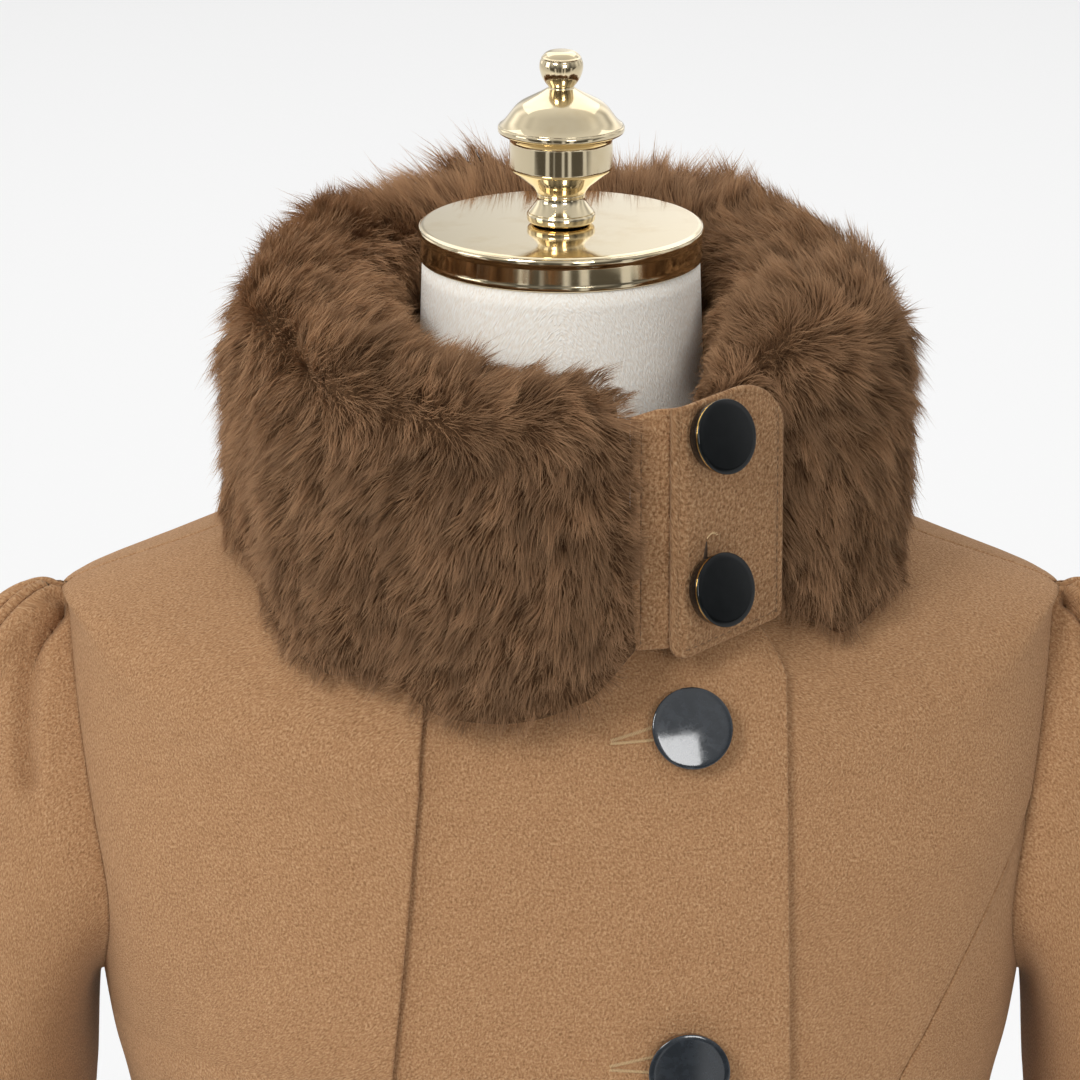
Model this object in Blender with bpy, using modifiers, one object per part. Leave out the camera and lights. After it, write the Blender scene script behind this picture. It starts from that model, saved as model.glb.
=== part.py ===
"""Long winter coat with a fur stand collar, on a limbless dress form.

Metres, +Z up. The origin is on the floor under the middle of the stand's base, the coat's front faces -Y
and +X is the wearer's left. Every cloth panel is a closed wall cut from one body surface, which is a
stack of oval rings from the hem to the neckline, so panels that meet or lap share their points.
"""

import math

import bpy
import numpy as np
from mathutils import Vector

# Heights of the stand, the form and its cap
CAP_TOP_Z = 1.440
CAP_HEIGHT = 0.0135
NECK_RADIUS = 0.0535
NECK_FOOT_RADIUS = 0.0550
NECK_FOOT_Z = 1.386
FORM_FOOT_LEVEL = 1.80
FORM_FOOT_Z = 0.706
POLE_RADIUS = 0.0140
POLE_FOOT_Z = 0.0483

# Cloth: melton wool, its seams and its laps
CLOTH = 0.0025
SEAM = 0.0003
LAP_STEP = 0.0031
TAB_CLOTH = 0.0032

# Body surface, one row for each ring of the coat's outside; depths are from the neck's axis
BODY_COLUMNS = ("side_z", "front_z", "back_z", "half_width", "front_depth", "back_depth", "squareness")
BODY_SECTIONS = {
    "hem": (0.340, 0.340, 0.340, 0.285, 0.250, 0.245, 2.00),
    "thigh": (0.560, 0.560, 0.560, 0.250, 0.212, 0.208, 2.05),
    "hip": (0.765, 0.765, 0.765, 0.208, 0.163, 0.160, 2.15),
    "high_hip": (0.865, 0.865, 0.865, 0.179, 0.136, 0.132, 2.20),
    "waist": (0.955, 0.955, 0.955, 0.156, 0.114, 0.104, 2.20),
    "underbust": (1.040, 1.040, 1.040, 0.163, 0.127, 0.106, 2.30),
    "bust": (1.100, 1.100, 1.100, 0.174, 0.143, 0.112, 2.40),
    "underarm": (1.135, 1.145, 1.145, 0.181, 0.144, 0.115, 2.50),
    "chest": (1.215, 1.205, 1.220, 0.190, 0.135, 0.113, 2.60),
    "armhole_top": (1.284, 1.248, 1.278, 0.1930, 0.126, 0.105, 1.95),
    "shoulder_tip": (1.297, 1.258, 1.289, 0.1915, 0.124, 0.103, 1.80),
    "shoulder": (1.3150, 1.284, 1.322, 0.143, 0.115, 0.092, 1.80),
    "neckline": (1.3335, 1.304, 1.349, 0.096, 0.105, 0.082, 1.90),
}
LEVEL = {name: index for index, name in enumerate(BODY_SECTIONS)}
UNDERARM_Z = BODY_SECTIONS["underarm"][0]
SHOULDER_TIP_Z = BODY_SECTIONS["shoulder_tip"][0]

# Soft flutes of the skirt: middle, half width and height at the hem, all fading out at the hip
FLUTE_COLUMNS = ("angle_deg", "half_width_deg", "height")
FLUTES = (
    (-148.0, 22.0, 0.017),
    (-106.0, 20.0, 0.013),
    (-66.0, 21.0, 0.016),
    (-28.0, 16.0, 0.007),
    (34.0, 18.0, 0.009),
    (71.0, 20.0, 0.016),
    (112.0, 21.0, 0.012),
    (154.0, 23.0, 0.018),
)

# Rows of every panel: levels of the skirt, parts of the armhole's height, parts of the shoulder
SKIRT_ROWS = (0.0, 0.5, 1.0, 1.5, 2.0, 2.6, 3.2, 3.8, 4.4, 5.0, 5.5, 6.0, 6.5)
ARMHOLE_ROWS = (0.0, 0.02, 0.08, 0.18, 0.31, 0.44, 0.56, 0.70, 0.84, 0.94, 1.0)
PRINCESS_TOP_ROW = 0.56
SHOULDER_ROWS = (0.2, 0.4, 0.6, 0.8, 1.0)

# Armhole: how far it reaches forward and back of the side, and how egg-shaped it is
ARMHOLE_FRONT = 0.070
ARMHOLE_BACK = 0.066
ARMHOLE_EGG = 0.66

# Edges on the front, as a distance from the middle at the neckline and at the hem
LAPPED_EDGE = (-0.0472, -0.1400)
LAPPED_UNDER_MARGIN = 0.018
UNDER_FRONT_EDGE = (-0.0150, -0.0150)
FRONT_EDGE = (0.0830, 0.0960)
PRINCESS_COLUMNS = ("section", "distance")
PRINCESS_SEAM = (
    ("hem", 0.185),
    ("hip", 0.136),
    ("waist", 0.106),
    ("bust", 0.119),
    ("underarm", 0.134),
)
PRINCESS_END_WIDTH = 0.0008

# Sleeves: gap to the armhole's edge, then rows of the hanging tube from upper arm to cuff, on a leaning axis
SLEEVE_GAP = 0.0005
SLEEVE_COLUMNS = ("centre_x", "centre_y", "centre_z", "half_thickness", "half_depth")
SLEEVE_SECTIONS = (
    (0.2255, 0.000, 1.088, 0.0375, 0.0760),
    (0.2330, -0.003, 1.000, 0.0375, 0.0730),
    (0.2430, -0.010, 0.900, 0.0360, 0.0680),
    (0.2545, -0.022, 0.795, 0.0330, 0.0630),
    (0.2660, -0.037, 0.690, 0.0310, 0.0600),
)
SLEEVE_LEAN_DEG = 6.5
SLEEVE_POINTS = 42
SLEEVE_CROWDING = 0.78
SLEEVE_HEAD_ROWS = (0.0, 0.10, 0.22, 0.36, 0.54, 0.76)
SLEEVE_TUBE_ROWS = (0.0, 0.8, 1.6, 2.4, 3.2, 4.0)

# Sleeve head: how far its curve leaves the armhole and comes down on the arm, inner side then extra
HEAD_LIFT = 0.0008
HEAD_LEAVE = (0.006, 0.016)
HEAD_SIDEWAYS = 0.016
HEAD_ARRIVE = (0.018, 0.124)

# Pleats of each sleeve head: distance along the armhole from its top (front positive), half width, height
PLEAT_RISE_END = 0.10
PLEAT_FALL = (0.22, 0.82)
PLEAT_COLUMNS = ("place", "half_width", "height")
PLEATS = (
    (0.0040, 0.0058, 0.0052),
    (0.0152, 0.0060, 0.0062),
    (0.0280, 0.0078, 0.0070),
    (-0.0080, 0.0058, 0.0054),
    (-0.0200, 0.0066, 0.0060),
    (-0.0340, 0.0082, 0.0062),
)

# Fur collar: polar radii and heights of its section at each angle from the front, wearer's left positive
FUR_COLUMNS = ("inner_radius", "outer_radius", "inner_low_z", "outer_low_z", "top_z")
FUR_RIGHT = {
    -180.0: (0.0600, 0.1240, 1.386, 1.340, 1.440),
    -135.0: (0.0605, 0.1310, 1.384, 1.322, 1.438),
    -90.0: (0.0610, 0.1300, 1.376, 1.308, 1.432),
    -60.0: (0.0650, 0.1360, 1.358, 1.296, 1.422),
    -35.0: (0.0720, 0.1430, 1.340, 1.286, 1.417),
    0.0: (0.0800, 0.1380, 1.330, 1.282, 1.412),
    11.9: (0.0820, 0.1340, 1.330, 1.288, 1.408),
}
FUR_LEFT = {
    35.0: (0.0820, 0.1120, 1.332, 1.310, 1.402),
    43.0: (0.0760, 0.1130, 1.338, 1.304, 1.410),
    52.0: (0.0700, 0.1330, 1.348, 1.288, 1.420),
    64.0: (0.0650, 0.1400, 1.360, 1.288, 1.428),
    90.0: (0.0610, 0.1365, 1.376, 1.304, 1.431),
    135.0: (0.0605, 0.1335, 1.384, 1.322, 1.437),
    180.0: (0.0600, 0.1240, 1.386, 1.340, 1.440),
}
FUR_STEP_DEG = 8.0
FUR_CROWN_POINTS = 9
FUR_CROWN_SQUARENESS = 2.7
FUR_REST = 0.0013

# Lower half of the fur's section from its inside to its outside, as parts of its width and height
FUR_UNDERSIDE_COLUMNS = ("across", "up")
FUR_UNDERSIDE = (
    (0.00, 0.26),
    (0.06, 0.05),
    (0.24, 0.00),
    (0.40, 0.00),
    (0.56, 0.00),
    (0.72, 0.00),
    (0.88, 0.00),
    (0.97, 0.04),
    (1.00, 0.20),
)

# Furrows down the fur's outside: middle, half width and depth
FURROW_COLUMNS = ("angle_deg", "half_width_deg", "depth")
FURROWS = (
    (-152.0, 13.0, 0.0050),
    (-112.0, 12.0, 0.0050),
    (-64.0, 11.0, 0.0045),
    (-29.0, 11.0, 0.0060),
    (78.0, 11.0, 0.0050),
    (122.0, 13.0, 0.0045),
    (158.0, 12.0, 0.0050),
)

# Cloth strip at the collar's end and the tab on it: one path along the outside, then their outlines
PATH_START = (0.0262, -0.1228)
STRIP_FACING_DEG = 12.0
TAB_FACING_DEG = 39.0
PATH_BEND = (0.011, 0.027)
STRIP_RUN = (0.0, 0.030)
TAB_RUN = (0.0140, 0.0680)
STRIP_LOW_Z = 1.3068
STRIP_TOP_Z = 1.3965
TAB_LOW_Z = (1.3026, 1.3104)
TAB_TOP_Z = (1.4000, 1.4062)
TAB_TOP_CORNER = 0.0240
TAB_LOW_CORNER = 0.0040
TAB_LEAN_DEG = -0.5

# Buttons: their sizes and their places, along the tab's path or down the front
FRONT_BUTTON_DIAMETER = 0.0310
COLLAR_BUTTON_DIAMETER = 0.0280
BUTTON_HEIGHT = 0.0076
BUTTON_STEPS = 18
FRONT_BUTTON_X = 0.0466
FRONT_BUTTON_Z = 1.2694
FRONT_BUTTON_PITCH = 0.118
FRONT_BUTTON_COUNT = 5
COLLAR_BUTTON_RUN = 0.0302
COLLAR_BUTTON_TILT_DEG = 14.0
COLLAR_BUTTON_Z = (1.3884, 1.3298)

# Turned profiles, radius and height, from the top down the outside
CAP_PROFILE = (
    (0.0000, 0.0000),
    (0.0525, 0.0000),
    (0.0546, -0.0006),
    (0.0550, -0.0022),
    (0.0543, -0.0040),
    (0.0543, -0.0108),
    (0.0549, -0.0122),
    (0.0541, -0.0135),
    (0.0000, -0.0135),
)
FINIAL_PROFILE = (
    (0.0000, 0.0672),
    (0.0046, 0.0660),
    (0.0078, 0.0618),
    (0.0072, 0.0562),
    (0.0050, 0.0530),
    (0.0078, 0.0510),
    (0.0162, 0.0458),
    (0.0214, 0.0402),
    (0.0240, 0.0380),
    (0.0241, 0.0362),
    (0.0208, 0.0338),
    (0.0198, 0.0326),
    (0.0199, 0.0218),
    (0.0180, 0.0196),
    (0.0104, 0.0140),
    (0.0088, 0.0098),
    (0.0114, 0.0058),
    (0.0131, 0.0036),
    (0.0128, 0.0014),
    (0.0112, 0.0000),
    (0.0000, 0.0000),
)
BASE_PROFILE = (
    (0.0000, 0.0480),
    (0.0210, 0.0480),
    (0.0225, 0.0440),
    (0.0300, 0.0330),
    (0.0700, 0.0230),
    (0.1400, 0.0170),
    (0.1820, 0.0130),
    (0.1900, 0.0075),
    (0.1880, 0.0000),
    (0.0000, 0.0000),
)
TURNED_STEPS = 32

# Room between the coat and the form at each section, none where the shoulder seam sits on it
FORM_EASE = {
    "hem": 0.030,
    "hip": 0.014,
    "waist": 0.010,
    "bust": 0.008,
    "chest": 0.010,
    "shoulder_tip": 0.006,
    "shoulder": 0.0,
    "neckline": 0.002,
}
FORM_EASE_BESIDE = 0.004
SHOULDER_SEAT_DEG = 12.0
NECK_LEAVE = 0.018
NECK_ARRIVE = 0.022

# Colours: base colour, roughness, metallic
CAMEL_WOOL = ((0.440, 0.235, 0.105), 0.95, 0.0)
BROWN_FUR = ((0.150, 0.080, 0.045), 0.90, 0.0)
BLACK_GLOSS = ((0.012, 0.012, 0.014), 0.12, 0.0)
LINEN = ((0.740, 0.710, 0.660), 0.90, 0.0)
BRASS = ((0.780, 0.570, 0.240), 0.12, 1.0)


def smooth_step(value):
    """Ease from 0 to 1 with level ends."""
    value = np.clip(value, 0.0, 1.0)
    return value * value * (3.0 - 2.0 * value)


def smooth_rows(keys, rows, at):
    """Read a table between its rows on cubic pieces whose slope at a row comes from its neighbours."""
    keys = np.asarray(keys, float)
    rows = np.asarray(rows, float)
    slopes = np.gradient(rows, keys, axis=0)
    at = np.clip(np.asarray(at, float), keys[0], keys[-1])
    low = np.clip(np.searchsorted(keys, at, side="right") - 1, 0, len(keys) - 2)
    span = (keys[low + 1] - keys[low])[..., None]
    part = (at - keys[low])[..., None] / span
    start_weight = 1.0 - part * part * (3.0 - 2.0 * part)
    start_slope = part * (1.0 - part) ** 2 * span
    end_slope = part * part * (part - 1.0) * span
    return (
        start_weight * rows[low]
        + (1.0 - start_weight) * rows[low + 1]
        + start_slope * slopes[low]
        + end_slope * slopes[low + 1]
    )


def unit(vectors):
    """Scale vectors to length one."""
    return vectors / np.linalg.norm(vectors, axis=-1, keepdims=True)


def signed_power(value, power):
    """Raise to a power and keep the sign."""
    return np.sign(value) * np.abs(value) ** power


def bump(distance, half_width):
    """A round bump of height one that ends at the half width."""
    part = np.clip(distance / half_width, -1.0, 1.0)
    return 0.5 + 0.5 * np.cos(math.pi * part)


def body_section(level):
    """Columns of the body table at any level."""
    values = smooth_rows(range(len(BODY_SECTIONS)), list(BODY_SECTIONS.values()), level)
    return dict(zip(BODY_COLUMNS, np.moveaxis(values, -1, 0)))


def flute_scale(level, angle):
    """How far the skirt's flutes stand out, which fades from the hem to the hip."""
    degrees = np.degrees(angle)
    out = np.zeros(np.broadcast(level, angle).shape)
    for middle, half_width, height in FLUTES:
        distance = (degrees - middle + 180.0) % 360.0 - 180.0
        out = out + height * bump(distance, half_width)
    fade = np.clip((LEVEL["high_hip"] - level) / LEVEL["high_hip"], 0.0, 1.0)
    return out * fade**1.4


def body_surface(level, angle):
    """Outside of the coat: an oval ring at each level, angle 0 at the front and 90 degrees at +X."""
    level, angle = np.broadcast_arrays(np.asarray(level, float), np.asarray(angle, float))
    section = body_section(level)
    sine = np.sin(angle)
    cosine = np.cos(angle)
    power = 2.0 / section["squareness"]
    in_front = cosine > 0.0
    depth = np.where(in_front, section["front_depth"], section["back_depth"])
    middle_z = np.where(in_front, section["front_z"], section["back_z"])
    x = section["half_width"] * signed_power(sine, power)
    y = -depth * signed_power(cosine, power)
    z = section["side_z"] + (middle_z - section["side_z"]) * cosine**2
    reach = np.hypot(x, y)
    scale = 1.0 + flute_scale(level, angle) / reach
    return np.stack((x * scale, y * scale, z), axis=-1)


def body_normal(level, angle):
    """Outward direction of the body surface, from its slopes along and up."""
    step = 1e-4
    along = body_surface(level, angle + step) - body_surface(level, angle - step)
    up = body_surface(level + step, angle) - body_surface(level - step, angle)
    return unit(np.cross(unit(along), unit(up)))


def body_point(level, angle, out=0.0):
    """A point of the body surface, moved out along its normal."""
    level, angle = np.broadcast_arrays(np.asarray(level, float), np.asarray(angle, float))
    inside = np.clip(level, 1e-3, LEVEL["neckline"] - 1e-3)
    return body_surface(level, angle) + np.asarray(out)[..., None] * body_normal(inside, angle)


def angle_at(level, distance):
    """Angle of the front surface at a distance from the middle."""
    section = body_section(level)
    part = np.clip(np.abs(distance) / section["half_width"], 0.0, 1.0)
    return np.sign(distance) * np.arcsin(part ** (section["squareness"] / 2.0))


def side_edge(level, front):
    """Angle of a panel's side: half a gap from the side seam, the armhole's edge, then the shoulder seam."""
    section = body_section(level)
    up = np.clip((section["side_z"] - UNDERARM_Z) / (SHOULDER_TIP_Z - UNDERARM_Z), 0.0, 1.0)
    up = np.where(level > LEVEL["shoulder_tip"], 1.0, up)
    reach = (ARMHOLE_FRONT if front else ARMHOLE_BACK) * np.sin(math.pi * up**ARMHOLE_EGG)
    reach = np.maximum(reach, 0.5 * SEAM)
    depth = section["front_depth" if front else "back_depth"]
    angle = np.arccos(np.clip(reach / depth, 0.0, 1.0) ** (section["squareness"] / 2.0))
    return angle if front else math.pi - angle


def armhole_level(part):
    """Level at a part of the armhole's height, from the underarm to the shoulder's tip."""
    levels = np.linspace(LEVEL["underarm"], LEVEL["shoulder_tip"], 600)
    heights = body_section(levels)["side_z"]
    return np.interp(UNDERARM_Z + np.asarray(part) * (SHOULDER_TIP_Z - UNDERARM_Z), heights, levels)


def panel_levels():
    """Levels of all panel rows from the hem to the neckline."""
    shoulder = LEVEL["shoulder_tip"] + np.array(SHOULDER_ROWS) * (LEVEL["neckline"] - LEVEL["shoulder_tip"])
    return np.concatenate((SKIRT_ROWS, armhole_level(ARMHOLE_ROWS), shoulder))


def seam_shift(level, angle):
    """Half a seam's gap, as an angle."""
    step = 1e-3
    along = body_surface(level, angle + step) - body_surface(level, angle - step)
    return 0.5 * SEAM / (np.linalg.norm(along, axis=-1) / (2.0 * step))


def straight_edge(level, ends):
    """Distance from the middle of an edge that runs straight from the neckline to the hem."""
    z = body_section(level)["front_z"]
    top = BODY_SECTIONS["neckline"][BODY_COLUMNS.index("front_z")]
    low = BODY_SECTIONS["hem"][BODY_COLUMNS.index("front_z")]
    return ends[0] + (ends[1] - ends[0]) * (top - z) / (top - low)


def front_edges(level):
    """Angles of the front's edges at each level, from the wearer's right side seam to the left one."""
    side = side_edge(level, True)
    princess_top = armhole_level(PRINCESS_TOP_ROW)
    end = body_surface(princess_top, side_edge(princess_top, True))[0] - PRINCESS_END_WIDTH
    keys = [LEVEL[name] for name, distance in PRINCESS_SEAM] + [float(princess_top)]
    distances = [distance for name, distance in PRINCESS_SEAM] + [float(end)]
    princess = angle_at(level, smooth_rows(keys, np.array(distances)[:, None], level)[..., 0])
    princess = np.where(level < princess_top + 1e-6, princess, side)
    lapped = straight_edge(level, LAPPED_EDGE)
    return {
        "right_side": -side,
        "lapped_margin": angle_at(level, lapped - LAPPED_UNDER_MARGIN),
        "lapped_edge": angle_at(level, lapped),
        "under_front": angle_at(level, straight_edge(level, UNDER_FRONT_EDGE)),
        "front_edge": angle_at(level, straight_edge(level, FRONT_EDGE)),
        "princess": princess,
        "left_side": side,
    }


def columns_between(edges, names, counts):
    """Angles of a panel's columns: edges by name, and evenly spaced columns between them."""
    blocks = [edges[names[0]][:, None]]
    for start, end, count in zip(names, names[1:], counts):
        part = np.arange(1, count + 1) / count
        blocks.append(edges[start][:, None] + (edges[end] - edges[start])[:, None] * part)
    return np.concatenate(blocks, axis=1)


def strip_faces(first, second, closed):
    """Triangles between two runs of point numbers."""
    if closed:
        first = np.append(first, first[..., :1], axis=-1)
        second = np.append(second, second[..., :1], axis=-1)
    a, b = first[..., :-1].ravel(), first[..., 1:].ravel()
    d, c = second[..., :-1].ravel(), second[..., 1:].ravel()
    return np.concatenate((np.stack((a, b, c), axis=-1), np.stack((a, c, d), axis=-1)))


def wall_solid(outer, inner, closed=False):
    """Closed wall between an outer and an inner grid of points (rows up, columns to the wearer's left)."""
    rows, columns = outer.shape[:2]
    first = np.arange(rows * columns).reshape(rows, columns)
    second = first + rows * columns
    faces = [
        strip_faces(first[:-1], first[1:], closed),
        strip_faces(second[:-1], second[1:], closed)[:, ::-1],
        strip_faces(second[0], first[0], closed),
        strip_faces(first[-1], second[-1], closed),
    ]
    if not closed:
        faces.append(strip_faces(first[:, 0], second[:, 0], False))
        faces.append(strip_faces(first[:, -1], second[:, -1], False)[:, ::-1])
    points = np.concatenate((outer.reshape(-1, 3), inner.reshape(-1, 3)))
    return points, np.concatenate(faces)


def loft_solid(rings):
    """Closed solid through rings of points, with a fan at each end."""
    count, around = rings.shape[:2]
    number = np.arange(count * around).reshape(count, around)
    low_middle = count * around
    low_fan = strip_faces(np.full(around, low_middle), number[0], True)
    top_fan = strip_faces(number[-1], np.full(around, low_middle + 1), True)
    faces = np.concatenate((strip_faces(number[:-1], number[1:], True), low_fan, top_fan))
    keep = (faces[:, 0] != faces[:, 1]) & (faces[:, 1] != faces[:, 2]) & (faces[:, 0] != faces[:, 2])
    middles = np.stack((rings[0].mean(axis=0), rings[-1].mean(axis=0)))
    return np.concatenate((rings.reshape(-1, 3), middles)), faces[keep]


def mirrored(solid):
    """The same solid on the wearer's other side."""
    points, faces = solid
    return points * np.array((-1.0, 1.0, 1.0)), faces[:, ::-1]


def back_panels(levels):
    """Both halves of the back, each from its side seam to the centre-back seam."""
    edges = {"side": side_edge(levels, False), "middle": math.pi - angle_at(levels, 0.5 * SEAM)}
    angles = columns_between(edges, ("side", "middle"), (11,))
    return {
        "back_left": panel_wall(levels, angles, 0.0),
        "back_right": panel_wall(levels, -angles[:, ::-1], 0.0),
    }


def panel_wall(levels, angles, out):
    """Closed wall of cloth whose outside lies a given way out from the body surface."""
    out = np.broadcast_to(np.asarray(out, float), angles.shape)
    rows = levels[:, None]
    return wall_solid(body_point(rows, angles, out), body_point(rows, angles, out - CLOTH))


def side_panel(levels, edges):
    """Left side front, whose top runs out to a narrow end at the armhole."""
    keep = levels < armhole_level(PRINCESS_TOP_ROW) + 1e-6
    kept = levels[keep]
    princess = edges["princess"][keep]
    pieces = {"princess": princess + seam_shift(kept, princess), "left_side": edges["left_side"][keep]}
    return panel_wall(kept, columns_between(pieces, ("princess", "left_side"), (4,)), 0.0)


def front_panels(levels):
    """The four front panels; laps share their columns, so the upper layer lies parallel to the lower."""
    edges = front_edges(levels)
    right = columns_between(edges, ("right_side", "lapped_margin", "lapped_edge"), (6, 1))
    rise = lap_rise(np.arange(right.shape[1]) / 6.0)
    centre_names = ("lapped_margin", "lapped_edge", "under_front", "front_edge")
    centre = columns_between(edges, centre_names, (1, 1, 5))
    left_edges = dict(edges)
    on_seam = levels < armhole_level(PRINCESS_TOP_ROW) + 1e-6
    left_edges["princess"] = edges["princess"] - np.where(on_seam, seam_shift(levels, edges["princess"]), 0.0)
    left = columns_between(left_edges, ("under_front", "front_edge", "princess"), (5, 4))
    return {
        "front_right_side": panel_wall(levels, right, rise[None, :]),
        "front_right_centre": panel_wall(levels, centre, LAP_STEP),
        "front_left": panel_wall(levels, left, 0.0),
        "side_front_left": side_panel(levels, edges),
    }


def armhole_loop():
    """Closed loop round the left armhole from its top by the front: inside edge, normal and way in."""
    rows = armhole_level(ARMHOLE_ROWS)
    levels = np.concatenate((rows[::-1], rows[1:-1]))
    angles = np.concatenate((side_edge(rows, True)[::-1], side_edge(rows, False)[1:-1]))
    edge = body_point(levels, angles, np.full(levels.shape, -CLOTH))
    return edge, body_normal(levels, angles)


def around_loop(values, places):
    """Read values along a closed loop at places from 0 to 1, on the straight runs between its points."""
    closed = np.concatenate((values, values[:1]))
    steps = np.linalg.norm(np.diff(closed[:, :3], axis=0), axis=1)
    run = np.concatenate(((0.0,), np.cumsum(steps)))
    read = [np.interp(places * run[-1], run, closed[:, column]) for column in range(closed.shape[1])]
    return np.stack(read, axis=-1), run[-1]


def sleeve_ring(row, turn):
    """Points of the sleeve's tube at a row of its table; turn 0 is the outside, a quarter is the front."""
    lean = math.radians(SLEEVE_LEAN_DEG)
    values = smooth_rows(range(len(SLEEVE_SECTIONS)), SLEEVE_SECTIONS, np.asarray(row, float))
    table = dict(zip(SLEEVE_COLUMNS, np.moveaxis(values, -1, 0)))
    across = table["half_thickness"] * np.cos(turn)
    forward = table["half_depth"] * np.sin(turn)
    x = table["centre_x"] + across * math.cos(lean)
    y = table["centre_y"] - forward
    z = table["centre_z"] + across * math.sin(lean)
    return np.stack((x, y, z), axis=-1)


def sleeve_solid():
    """Left sleeve: leaves the armhole along the body's normal, puffs over and hangs to the cuff."""
    even = np.arange(SLEEVE_POINTS) / SLEEVE_POINTS
    places = even - SLEEVE_CROWDING * np.sin(2.0 * math.pi * even) / (2.0 * math.pi)
    edge, normal = armhole_loop()
    read, length = around_loop(np.concatenate((edge, normal), axis=1), places)
    start, normal = read[:, :3], unit(read[:, 3:])
    along = unit(np.roll(start, -1, axis=0) - np.roll(start, 1, axis=0))
    way_in = unit(np.cross(along, normal))
    way_in = way_in * np.sign(np.sum((start.mean(axis=0) - start) * way_in, axis=1))[:, None]
    start = start + SLEEVE_GAP * way_in
    turn = 2.0 * math.pi * places
    outside = 0.5 + 0.5 * np.cos(turn)
    lean = math.radians(SLEEVE_LEAN_DEG)
    down = np.array((math.sin(lean), 0.0, -math.cos(lean)))
    lift = start + (CLOTH + HEAD_LIFT) * normal
    upper_arm = sleeve_ring(np.zeros(SLEEVE_POINTS), turn)
    sideways = np.array((1.0, 0.0, 0.0)) * outside[:, None] ** 2
    leave = lift + (HEAD_LEAVE[0] + HEAD_LEAVE[1] * outside)[:, None] * normal + HEAD_SIDEWAYS * sideways
    arrive = upper_arm - (HEAD_ARRIVE[0] + HEAD_ARRIVE[1] * outside)[:, None] * down
    part = np.array(SLEEVE_HEAD_ROWS)[:, None, None]
    head = (
        (1.0 - part) ** 3 * lift
        + 3.0 * part * (1.0 - part) ** 2 * leave
        + 3.0 * part**2 * (1.0 - part) * arrive
        + part**3 * upper_arm
    )
    tube = sleeve_ring(np.array(SLEEVE_TUBE_ROWS)[:, None], turn[None, :])
    plain = np.concatenate((start[None], head, tube))
    normals = grid_normals(plain)
    normals[0] = -way_in
    from_top = np.where(places > 0.5, places - 1.0, places) * length
    heights = sum(height * bump(from_top - place, half) for place, half, height in PLEATS)
    fade = np.zeros(len(plain))
    head_part = np.array(SLEEVE_HEAD_ROWS)
    rise = smooth_step(head_part / PLEAT_RISE_END)
    fall = smooth_step((head_part - PLEAT_FALL[0]) / (PLEAT_FALL[1] - PLEAT_FALL[0]))
    fade[1 : 1 + len(head_part)] = rise * (1.0 - fall)
    outer = plain + (fade[:, None] * heights[None, :])[..., None] * normals
    return wall_solid(outer, plain - CLOTH * normals, closed=True)


def grid_normals(grid):
    """Outward directions of a grid that closes round its columns."""
    along = np.roll(grid, -1, axis=1) - np.roll(grid, 1, axis=1)
    down = np.gradient(grid, axis=0)
    return unit(np.cross(unit(along), unit(down)))


def lap_rise(part):
    """How far the right side piece has risen to lie on the centre piece, from its side to its edge."""
    return 2.0 * LAP_STEP * smooth_step((part - 0.35) / 0.65)


def outermost_layer(level, angle):
    """How far the top layer of cloth lies out from the body surface on the coat's front."""
    edges = front_edges(level)
    part = (angle - edges["right_side"]) / (edges["lapped_margin"] - edges["right_side"])
    lapped = np.where(angle < edges["lapped_edge"], lap_rise(part), LAP_STEP)
    return np.where(angle < edges["front_edge"], np.where(angle < edges["right_side"], 0.0, lapped), 0.0)


def coat_profile(polar):
    """Radius and height of the coat's outside below the neckline, looking out at one polar angle."""
    levels = np.linspace(LEVEL["neckline"], LEVEL["shoulder_tip"], 40)
    section = body_section(levels)
    in_front = math.cos(polar) > 0.0
    depth = section["front_depth" if in_front else "back_depth"]
    ratio = np.abs(math.tan(polar)) * depth / section["half_width"]
    turn = np.arctan(ratio ** (section["squareness"] / 2.0))
    angle = np.copysign(turn if in_front else math.pi - turn, polar)
    nearby = [outermost_layer(levels, angle + math.radians(aside)) for aside in (-9.0, -4.0, 0.0, 4.0, 9.0)]
    points = body_point(levels, angle, np.max(nearby, axis=0))
    return np.hypot(points[:, 0], points[:, 1]), points[:, 2]


def fur_ring(degrees, table):
    """One section of the fur: a rounded block whose underside rests on the coat."""
    keys = list(table)
    row = dict(zip(FUR_COLUMNS, smooth_rows(keys, list(table.values()), degrees)))
    furrow = sum(depth * bump(degrees - middle, half) for middle, half, depth in FURROWS)
    turn = np.linspace(0.0, math.pi, FUR_CROWN_POINTS)
    power = 2.0 / FUR_CROWN_SQUARENESS
    under_across, under_up = zip(*FUR_UNDERSIDE)
    across = np.append(0.5 + 0.5 * signed_power(np.cos(turn), power), under_across)
    up = np.append(0.5 + 0.5 * signed_power(np.sin(turn), power), under_up)
    outer = row["outer_radius"] - furrow
    radius = row["inner_radius"] + (outer - row["inner_radius"]) * across
    polar = math.radians(degrees)
    coat_radius, coat_z = coat_profile(polar)
    neck_radius = coat_radius[0]
    neck_z = coat_z[0] + FUR_REST
    line = np.interp(
        radius,
        (row["inner_radius"], neck_radius, row["outer_radius"]),
        (row["inner_low_z"], neck_z, row["outer_low_z"]),
    )
    resting = np.interp(radius, coat_radius, coat_z) + FUR_REST
    low = np.where(radius > neck_radius, np.maximum(line, resting), line)
    z = low + (row["top_z"] - low) * up
    return np.stack((radius * math.sin(polar), -radius * math.cos(polar), z), axis=-1)


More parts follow.
